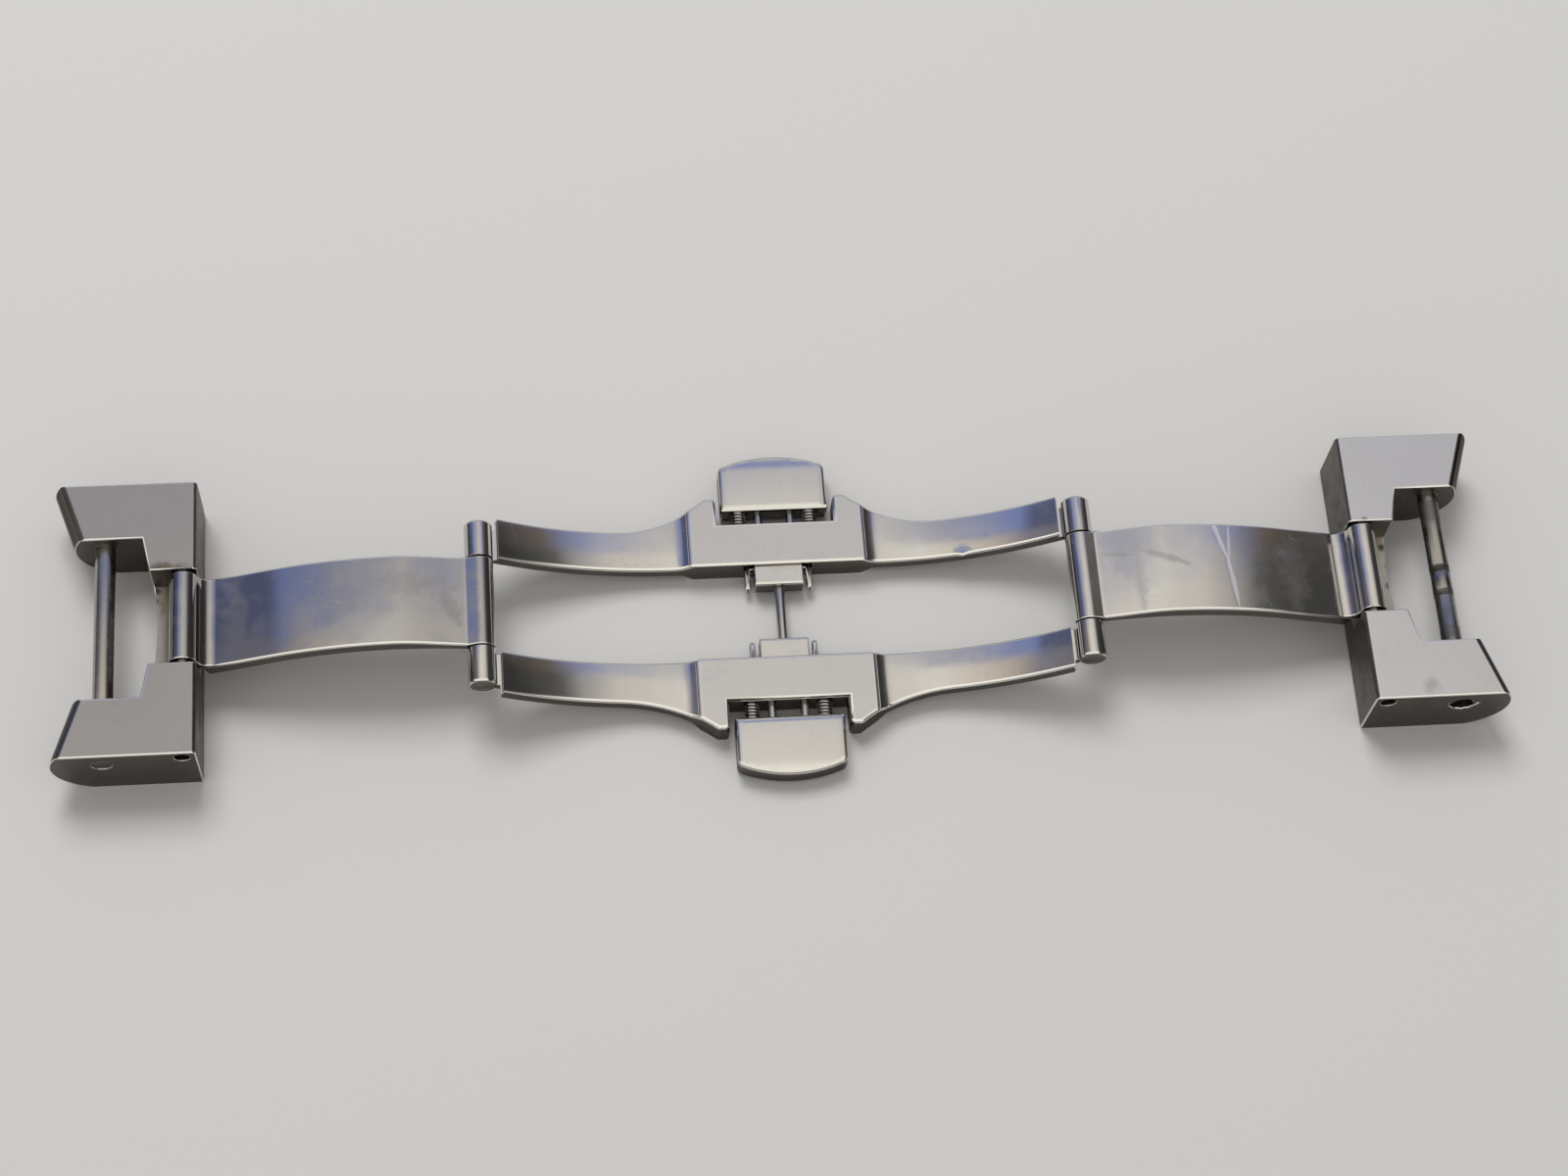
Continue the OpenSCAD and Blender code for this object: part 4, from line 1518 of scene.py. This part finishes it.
        # The rounded top edges of the lug ends drop the lighter worn-edge highlight and take the dark
        # lug-end finish as painted shade.
        for face in mesh.polygons:
            if abs(face.center.x) > self.notch_x + 2.5 and face.material_index == 4:
                if face.center.z > self.thickness - 0.6 and abs(face.normal.y) < 0.3:
                    face.material_index = 2
        put_in_scene(
            f"{self.hand.label}_link_steel", mesh, work.node, "satin_steel",
            [FINISHES.link_grey if self.hand is Hand.LEFT else FINISHES.link_satin,
             FINISHES.link_brushed, FINISHES.link_polish, FINISHES.web_dull,
             FINISHES.worn_edge, FINISHES.bored, FINISHES.notch_dark],
        )


@dataclass
class PushButton:
    """A push button: a crowned cap and the catch that it pulls."""

    row: Row
    cap_y: float = 7.8
    cap_d: float = 4.24
    cap_half: float = 3.76
    cap_top: float = 1.95
    cap_bevel: float = 0.22
    corner_r: float = 0.5
    crown: float = 0.13
    crown_at: float = 0.45
    nose_share: float = 0.74
    nose_drop: float = 0.11
    side_drop: float = 0.04
    crown_depth: float = 0.5
    crown_fade: float = 0.3
    depth_grid: float = 0.26
    width_grid: float = 0.6
    ear_x: float = 1.9
    tab_top: float = 1.9
    tab_tip: float = 2.05
    guide_x: float = LAYOUT.guide_x
    guide_bore_r: float = 0.31
    spring_x: float = LAYOUT.spring_x
    rod_h: float = LAYOUT.rod_h
    bore_r: float = 0.62
    bore_depth: float = 3.4
    bore_round: float = 0.03
    rim_round: float = 0.24
    side_round: float = 0.12
    ear_round: float = 0.11
    tip_round: float = 0.2
    tab_round: float = 0.09
    catch_round: float = 0.045

    def _square_up(self, cap: Workpiece) -> None:
        """Takes the coarse bevel off the cap's top, so that a finer rounding can take its place.

        Args:
            cap: the cap.
        """
        bm = cap.bm
        bmesh.ops.bisect_plane(
            bm, geom=[*bm.verts, *bm.edges, *bm.faces], dist=1e-4, clear_outer=True,
            plane_co=(0, 0, self.cap_top - self.cap_bevel - 0.015), plane_no=(0, 0, 1),
        )
        rim = [edge for edge in bm.edges if edge.is_boundary]
        bmesh.ops.contextual_create(bm, geom=rim)
        for vert in {vert for edge in rim for vert in edge.verts}:
            vert.co.z = self.cap_top
        seam_x = self.cap_half - self.corner_r
        nose_y = self.cap_y + 3.6
        seam = [
            v for v in bm.verts if abs(abs(v.co.x) - seam_x) < SLACK and abs(v.co.y) > nose_y
        ]
        bmesh.ops.remove_doubles(bm, verts=seam, dist=0.05)
        bmesh.ops.recalc_face_normals(bm, faces=bm.faces)

    def _crown(self, cap: Workpiece) -> None:
        """Gives the cap's top its crown, which falls off towards the nose.

        Args:
            cap: the cap, with its edges rounded.
        """
        def on_top(face: Face) -> bool:
            """Whether a face is part of the flat top."""
            return face.normal.z > 0.999 and face.calc_center_median().z > self.cap_top - SLACK

        cap.bm.normal_update()
        depths = steps(self.cap_y + 0.5, self.cap_y + self.cap_d - 0.36, self.depth_grid)
        cap.cut(1, [self.row.value * y for y in depths], on_top)
        across = self.cap_half - self.width_grid
        cap.cut(0, steps(-across, across, self.width_grid), on_top)
        low = self.cap_top - self.crown_depth
        for vert in cap.bm.verts:
            if vert.co.z > low:
                share = (abs(vert.co.y) - self.cap_y) / self.cap_d
                along = share - self.crown_at
                nose = max(0.0, (share - self.nose_share) / (1 - self.nose_share))
                lift = smooth_step((vert.co.z - low) / self.crown_fade)
                side = self.side_drop * (vert.co.x / self.cap_half) ** 2
                drop = self.crown * along * along + side + self.nose_drop * nose * nose
                vert.co.z -= lift * drop
        cap.bm.normal_update()

    def _bore(self, middle: Vector) -> bool:
        """Whether a point is in one of the cap's bores."""
        x, z = abs(middle.x), middle.z - self.rod_h
        in_guide = math.hypot(x - self.guide_x, z) < self.guide_bore_r
        return in_guide or math.hypot(x - self.spring_x, z) < self.bore_r

    def _cap_number(self, face: Face) -> int:
        """0 satin, 1 polished sides in painted shade, 3 painted shade in the bores."""
        middle = face.calc_center_median()
        depth = abs(middle.y) - self.cap_y
        if self._bore(middle) and SLACK < depth < self.bore_depth:
            return 3
        return 0 if face.normal.z > 0.9 else 1

    def _cap_edge(self, edge: Edge, angle: float, middle: Vector) -> float:
        """How far an edge of the cap is rounded."""
        if self._bore(middle):
            at_mouth = angle > 60 and abs(middle.y) < self.cap_y + SLACK
            return self.bore_round if at_mouth else 0.0
        if angle <= CORNER_DEG:
            return 0.0
        return self.rim_round if middle.z > self.cap_top - SLACK else self.side_round

    def _catch_edge(self, edge: Edge, angle: float, middle: Vector) -> float:
        """How far an edge of the catch is rounded."""
        if angle < CORNER_DEG:
            return 0.0
        if abs(middle.x) > self.ear_x:
            return self.ear_round
        if middle.z > self.tab_top - SLACK:
            return self.tip_round if abs(middle.y) < self.tab_tip + 0.05 else self.tab_round
        return self.catch_round

    def build(self) -> None:
        """Makes the cap and the catch."""
        cap = Workpiece(f"{self.row.label}_button_cap")
        self._square_up(cap)
        cap.paint(self._cap_number)
        cap.round_edges(self._cap_edge)
        put_in_scene(
            f"{self.row.label}_cap_steel", cap.finish(2, 5, self._crown), cap.node, "button_steel",
            [FINISHES.cap_satin, FINISHES.rail_side, FINISHES.rail_polish, FINISHES.bored],
        )
        catch = Workpiece(f"{self.row.label}_catch")
        # The catch's sides take the dark side finish as painted shade.
        catch.paint(lambda face: 0 if face.normal.z > 0.9 else 1)
        catch.round_edges(self._catch_edge)
        put_in_scene(
            f"{self.row.label}_catch_steel", catch.finish(0, 3), catch.node, "button_steel",
            [FINISHES.catch_satin, FINISHES.rail_side],
        )


@dataclass
class TurnedPin:
    """A pin or rod turned on a lathe, with domed or flat ends and shallow tool grooves."""

    node: str
    x: float
    z: float
    start_y: float
    end_y: float
    radius: float
    chamfer: float = 0.08
    dome: float = 0.03
    finish: SteelFinish = field(default_factory=lambda: FINISHES.pin_turned)
    slot: str = "pin_steel"
    grooves: tuple[float, ...] = ()
    end_finish: SteelFinish | None = None

    GROOVE: ClassVar[tuple[Place, ...]] = ((-0.09, 0.0), (-0.05, 0.02), (0.05, 0.02), (0.09, 0.0))

    def _profile(self) -> list[tuple[float, float]]:
        """The places along the pin and the radius at each."""
        r, c, d = self.radius, self.chamfer, self.dome
        low = [(self.start_y, 0.0), (self.start_y + d * 0.3, 0.5 * r), (self.start_y + d, r - c),
               (self.start_y + d + 0.3 * c, r - 0.3 * c), (self.start_y + d + c, r)]
        high = [(self.end_y - (y - self.start_y), radius) for y, radius in reversed(low)]
        body = []
        for y in sorted(self.grooves):
            body += [(y + off, r - depth) for off, depth in self.GROOVE]
        return low + body + high

    def build(self) -> None:
        """Makes the pin."""
        mesh = turned_mesh(self.node, self._profile(), self.x, self.z)
        for face in mesh.polygons:
            face.material_index = int(abs(face.normal.y) > 0.7)
        finishes = [self.finish, self.end_finish or self.finish]
        put_in_scene(f"{self.node}_steel", mesh, self.node, self.slot, finishes)


@dataclass
class CoilSpring:
    """A coil spring with closed ends, made by one node tree for all four."""

    row: Row
    hand: Hand
    x: float = LAYOUT.spring_x
    z: float = LAYOUT.rod_h
    start_y: float = 5.24
    end_y: float = 9.28
    coil_r: float = 0.44
    wire_r: float = 0.082
    turns: float = 18.0
    travel: float = 1.0

    @staticmethod
    def tree() -> bpy.types.NodeTree:
        """Builds the node tree that winds a spring.

        Returns:
            The tree, with named inputs for the spring's sizes.
        """
        tree = bpy.data.node_groups.new("wound_spring", "GeometryNodeTree")
        graph = Graph(tree)
        face = tree.interface
        face.new_socket("Geometry", in_out="OUTPUT", socket_type="NodeSocketGeometry")
        for name in ("Turns", "Coil Radius", "Wire Radius", "Length", "Closing", "Lay Over"):
            face.new_socket(name, in_out="INPUT", socket_type="NodeSocketFloat")
        face.new_socket("Start", in_out="INPUT", socket_type="NodeSocketVector")
        face.new_socket("Finish", in_out="INPUT", socket_type="NodeSocketMaterial")
        given = graph.node("NodeGroupInput")
        size = {s.name: Term(graph, s) for s in given.outputs if s.name}
        wind = graph.node(
            "GeometryNodeCurveSpiral",
            {"Resolution": 22, "Rotations": size["Turns"], "Start Radius": size["Coil Radius"],
             "End Radius": size["Coil Radius"], "Height": size["Length"]},
        )
        along = Term(graph, graph.node("GeometryNodeSplineParameter").outputs["Factor"])
        swing = graph.math("SINE", along * (2 * math.pi))
        shift = swing * size["Length"] * size["Closing"] * (-1 / (2 * math.pi))
        lift = graph.node("ShaderNodeCombineXYZ", {"Z": shift})
        closed = graph.node(
            "GeometryNodeSetPosition",
            {"Geometry": wind.outputs[0], "Offset": lift.outputs[0]},
        )
        turn = graph.node("ShaderNodeCombineXYZ", {"X": size["Lay Over"]})
        laid = graph.node(
            "GeometryNodeTransform",
            {"Geometry": closed.outputs[0], "Translation": size["Start"],
             "Rotation": turn.outputs[0]},
        )
        wire = graph.node(
            "GeometryNodeCurvePrimitiveCircle",
            {"Resolution": 12, "Radius": size["Wire Radius"]},
        )
        drawn = graph.node(
            "GeometryNodeCurveToMesh",
            {"Curve": laid.outputs[0], "Profile Curve": wire.outputs[0], "Fill Caps": True},
        )
        smooth = graph.node("GeometryNodeSetShadeSmooth", {"Geometry": drawn.outputs[0]})
        real = graph.node("GeometryNodeRealizeInstances", {0: smooth.outputs[0]})
        steel = graph.node(
            "GeometryNodeSetMaterial",
            {"Geometry": real.outputs[0], "Material": size["Finish"]},
        )
        graph.node("NodeGroupOutput", {0: steel.outputs[0]})
        return tree

    def build(self, tree: bpy.types.NodeTree) -> None:
        """Winds the spring.

        Args:
            tree: the tree that tree() built.
        """
        side = self.row.value
        node = f"{self.row.label}_{self.hand.label}_spring"
        values = {
            "Turns": self.turns,
            "Coil Radius": self.coil_r,
            "Wire Radius": self.wire_r,
            "Length": self.end_y - self.start_y - 2 * self.wire_r,
            "Closing": 0.1,
            "Lay Over": -side * math.pi / 2,
            "Start": (self.hand.value * self.x, side * (self.start_y + self.wire_r), self.z),
            "Finish": FINISHES.get(FINISHES.spring_wire),
        }

        def set_up(wind: bpy.types.NodesModifier) -> None:
            """Gives the tree this spring's sizes."""
            wind.node_group = tree
            for socket in tree.interface.items_tree:
                if socket.in_out == "INPUT":
                    wind[socket.identifier] = values[socket.name]

        mesh = bake(bpy.data.meshes.new(node), "NODES", set_up)
        piece = put_in_scene(f"{node}_wire", mesh, node, "spring_steel", [FINISHES.spring_wire])
        length = self.end_y - self.start_y
        side * self.start_y * MM
        1 - self.travel / length
        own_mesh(piece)


@dataclass
class Pins:
    """All turned pins and rods of the clasp, and its four springs."""

    hinge_x: float = LAYOUT.hinge_x
    hinge_h: float = LAYOUT.hinge_h
    hinge_pin_half: float = 6.01
    hinge_pin_r: float = 0.5
    barrel_x: float = LAYOUT.barrel_x
    barrel_h: float = LAYOUT.barrel_h
    barrel_pin_half: float = 9.1
    barrel_pin_r: float = LAYOUT.barrel_pin_r
    link_pin_x: float = LAYOUT.link_pin_x
    link_pin_h: float = LAYOUT.link_pin_h
    link_pin_r: float = LAYOUT.link_pin_r
    link_pin_half: float = 9.55
    flush_pin_half: float = 9.97
    rod_h: float = LAYOUT.rod_h
    cross_rod_half: float = 6.18
    cross_rod_r: float = 0.36
    guide_x: float = LAYOUT.guide_x
    guide_r: float = 0.3
    guide_start: float = 3.83
    guide_end: float = 9.4

    def build(self) -> None:
        """Makes the pins, the rods and the springs."""
        tree = CoilSpring.tree()
        for hand in Hand:
            side = hand.value
            half = self.hinge_pin_half
            # The hinge pins' ends and the left link pin's ends take the painted shade of the faces
            # round them.
            TurnedPin(f"{hand.label}_hinge_pin", side * self.hinge_x, self.hinge_h, -half, half,
                      self.hinge_pin_r, 0.02, 0.01, end_finish=FINISHES.rail_side).build()
            half = self.barrel_pin_half
            TurnedPin(f"{hand.label}_barrel_pin", side * self.barrel_x, self.barrel_h, -half,
                      half, self.barrel_pin_r).build()
            plain = hand is Hand.LEFT
            half = self.flush_pin_half if plain else self.link_pin_half
            TurnedPin(f"{hand.label}_link_pin", side * self.link_pin_x, self.link_pin_h, -half,
                      half, self.link_pin_r, 0.02 if plain else 0.08, 0.01,
                      FINISHES.pin_turned if plain else FINISHES.pin_burnt,
                      grooves=() if plain else (-1.85, 0.0),
                      end_finish=FINISHES.link_brushed if plain else None).build()
            for row in Row:
                low, high = sorted((row.value * self.guide_start, row.value * self.guide_end))
                TurnedPin(f"{row.label}_{hand.label}_guide_pin", side * self.guide_x, self.rod_h,
                          low, high, self.guide_r, 0.03, 0.01, FINISHES.rod_turned).build()
                CoilSpring(row, hand).build(tree)
        half = self.cross_rod_half
        TurnedPin("catch_guide_rod", 0.0, self.rod_h, -half, half, self.cross_rod_r, 0.04, 0.01,
                  FINISHES.rod_turned).build()


# ---- the studio ----


@dataclass
class Studio:
    """A plain pale floor, a soft dome of light and one large soft panel."""

    floor_half: float = 1.5
    floor_colour: Colour = (0.80, 0.79, 0.775)
    level: float = 1.05
    fill: float = 0.5
    plain: Colour = (0.80, 0.79, 0.78)
    high_row: tuple[Stop, ...] = (
        (0.0, (0.05, 0.06, 0.12)), (0.20, (0.13, 0.15, 0.27)), (0.225, (0.25, 0.32, 0.65)),
        (0.34, (0.43, 0.45, 0.60)), (0.55, (0.74, 0.72, 0.72)), (0.70, (0.52, 0.54, 0.70)),
        (0.76, (0.30, 0.33, 0.55)), (0.82, (0.18, 0.15, 0.13)), (0.90, (0.06, 0.05, 0.05)),
    )
    mid_row: tuple[Stop, ...] = (
        (0.0, (0.06, 0.06, 0.08)), (0.20, (0.29, 0.28, 0.33)), (0.26, (0.62, 0.55, 0.48)),
        (0.32, (0.82, 0.74, 0.64)), (0.45, (1.0, 0.97, 0.91)), (0.68, (0.82, 0.77, 0.71)),
        (0.75, (0.50, 0.48, 0.46)), (0.80, (0.14, 0.14, 0.13)), (0.88, (0.05, 0.05, 0.05)),
    )
    row_change: Place = (0.384, 0.405)
    sky_rise: Place = (0.46, 0.58)
    sky_fade: Place = (0.62, 0.82)
    lamp_fall: Place = (0.26, 0.02)
    lamp_side: Place = (0.75, 0.5)
    low_fall: Place = (0.4, 0.12)
    sway: float = 0.04
    tilt: float = 0.024
    sky: Colour = (0.27, 0.34, 0.64)
    lamp: Colour = (1.2, 1.16, 1.08)
    low: Colour = (0.05, 0.045, 0.042)
    backdrop: Colour = (0.74, 0.735, 0.725)
    panel_from: Point = (-0.1, 0.3, 0.55)
    panel_size: float = 0.28
    panel_radiance: float = 7.0

    def _floor(self) -> None:
        """Lays the floor."""
        half = self.floor_half
        mesh = bpy.data.meshes.new("floor")
        corners = [(-half, -half, 0), (half, -half, 0), (half, half, 0), (-half, half, 0)]
        mesh.from_pydata(corners, [], [(0, 1, 2, 3)])
        made = bpy.data.materials.new("floor_pale")
        made.use_nodes = True
        graph = Graph(made.node_tree)
        shader = graph.node(
            "ShaderNodeBsdfPrincipled",
            {"Base Color": self.floor_colour, "Roughness": 0.75, "Specular IOR Level": 0.25},
        )
        graph.node("ShaderNodeOutputMaterial", {"Surface": shader.outputs[0]})
        mesh.materials.append(made)
        floor = bpy.data.objects.new("floor", mesh)
        bpy.context.scene.collection.objects.link(floor)
        floor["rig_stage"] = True

    def _room(self, graph: Graph) -> Term:
        """The light that a ray meets in each direction of the room.

        Args:
            graph: the world's graph.

        Returns:
            The light's colour.
        """
        ray = Term(graph, graph.node("ShaderNodeTexCoord").outputs["Generated"])
        x, y, z = graph.axes(ray)
        sway = (graph.noise(ray, (0.2, 0.2, 0.2), 2.0) - 0.5) * self.sway
        along = x * 0.5 + 0.5 + sway * 0.5
        rise = y + sway - x.ramp(-0.4, 0.4) * self.tilt
        mid_row, high_row = (graph.colours(along, row) for row in (self.mid_row, self.high_row))
        colour = graph.mix(rise.ramp(*self.row_change), mid_row, high_row)
        sky = graph.mix(y.ramp(*self.sky_fade), self.sky, self.plain)
        colour = graph.mix(rise.ramp(*self.sky_rise), colour, sky)
        lamp_share = rise.ramp(*self.lamp_fall) * x.ramp(*self.lamp_side)
        colour = graph.mix(lamp_share, colour, self.lamp)
        return graph.mix(z.ramp(*self.low_fall), colour, self.low)

    def _dome(self) -> None:
        """Lights the scene from all sides, as a room with one window does."""
        world = bpy.data.worlds.new("dome")
        world.use_nodes = True
        bpy.context.scene.world = world
        graph = Graph(world.node_tree)
        path = graph.node("ShaderNodeLightPath")
        seen = Term(graph, path.outputs["Is Camera Ray"])
        mirrored = Term(graph, path.outputs["Is Glossy Ray"])
        colour = graph.mix(mirrored, self.plain, self._room(graph))
        colour = graph.mix(seen, colour, self.backdrop)
        strength = seen.most(mirrored) * (self.level * (1 - self.fill)) + self.level * self.fill
        light = graph.node("ShaderNodeBackground", {"Color": colour, "Strength": strength})
        graph.node("ShaderNodeOutputWorld", {"Surface": light.outputs[0]})

    def _panel(self) -> None:
        """Hangs the soft panel that throws the shadows towards the near side."""
        light = bpy.data.lights.new("panel", "AREA")
        light.shape = "SQUARE"
        light.size = self.panel_size
        light.energy = self.panel_radiance * math.pi * self.panel_size**2
        panel = bpy.data.objects.new("panel", light)
        panel.visible_glossy = False
        panel.visible_camera = False
        bpy.context.scene.collection.objects.link(panel)
        turn = Vector(self.panel_from).to_track_quat("Z", "Y").to_matrix().to_4x4()
        panel.matrix_world = Matrix.Translation(self.panel_from) @ turn

    def build(self) -> None:
        """Sets up the floor and the light."""
        self._floor()
        self._dome()
        self._panel()
        bpy.context.scene.view_settings.view_transform = "Standard"


@dataclass
class PhotoCamera:
    """The camera at the photograph's viewing angle, found by fitting the clasp's corners."""

    elevation: float = 65.13
    swing: float = 11.177
    roll: float = 7.765
    distance: float = 219.83
    target: Point = (0.4887, 2.8035, -0.5)
    lens: float = 71.795
    sensor: float = 36.0

    def build(self) -> None:
        """Makes the camera and looks through it."""
        rise, roll = math.radians(self.elevation), math.radians(self.roll)
        ahead = Vector((0, math.cos(rise), -math.sin(rise)))
        up = Vector((0, math.sin(rise), math.cos(rise)))
        right = Vector((1, 0, 0))
        rolled_right = math.cos(roll) * right + math.sin(roll) * up
        rolled_up = math.cos(roll) * up - math.sin(roll) * right
        turn = Matrix.Rotation(-math.radians(self.swing), 3, "Z")
        data = bpy.data.cameras.new("photo_camera")
        data.lens, data.sensor_width = self.lens, self.sensor
        data.clip_start, data.clip_end = 0.01, 10.0
        camera = bpy.data.objects.new("photo_camera", data)
        bpy.context.scene.collection.objects.link(camera)
        place = Vector(self.target) * MM - (turn @ ahead) * self.distance * MM
        columns = [turn @ rolled_right, turn @ rolled_up, -(turn @ ahead), place]
        rows = [[column[i] for column in columns] for i in range(3)]
        camera.matrix_world = Matrix([*rows, [0, 0, 0, 1]])
        bpy.context.scene.camera = camera


def corners(bounds: Sequence[Vector]) -> list[list[float]]:
    """A box's corners as plain lists."""
    return [[float(part) for part in corner] for corner in bounds]


def main() -> None:
    """Builds the camera, the clasp and the studio in order."""
    cad_box = corners(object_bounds())
    PhotoCamera().build()
    for row in Row:
        SideRail(row).build()
        PushButton(row).build()
    for hand in Hand:
        FoldingArm(hand).build()
        EndLink(hand).build()
    Pins().build()
    Studio().build()
    {"cad": cad_box, "visual": corners(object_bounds())}


if __name__ == "__main__":
    logging.basicConfig(level=logging.INFO, format="%(name)s: %(message)s")
    main()
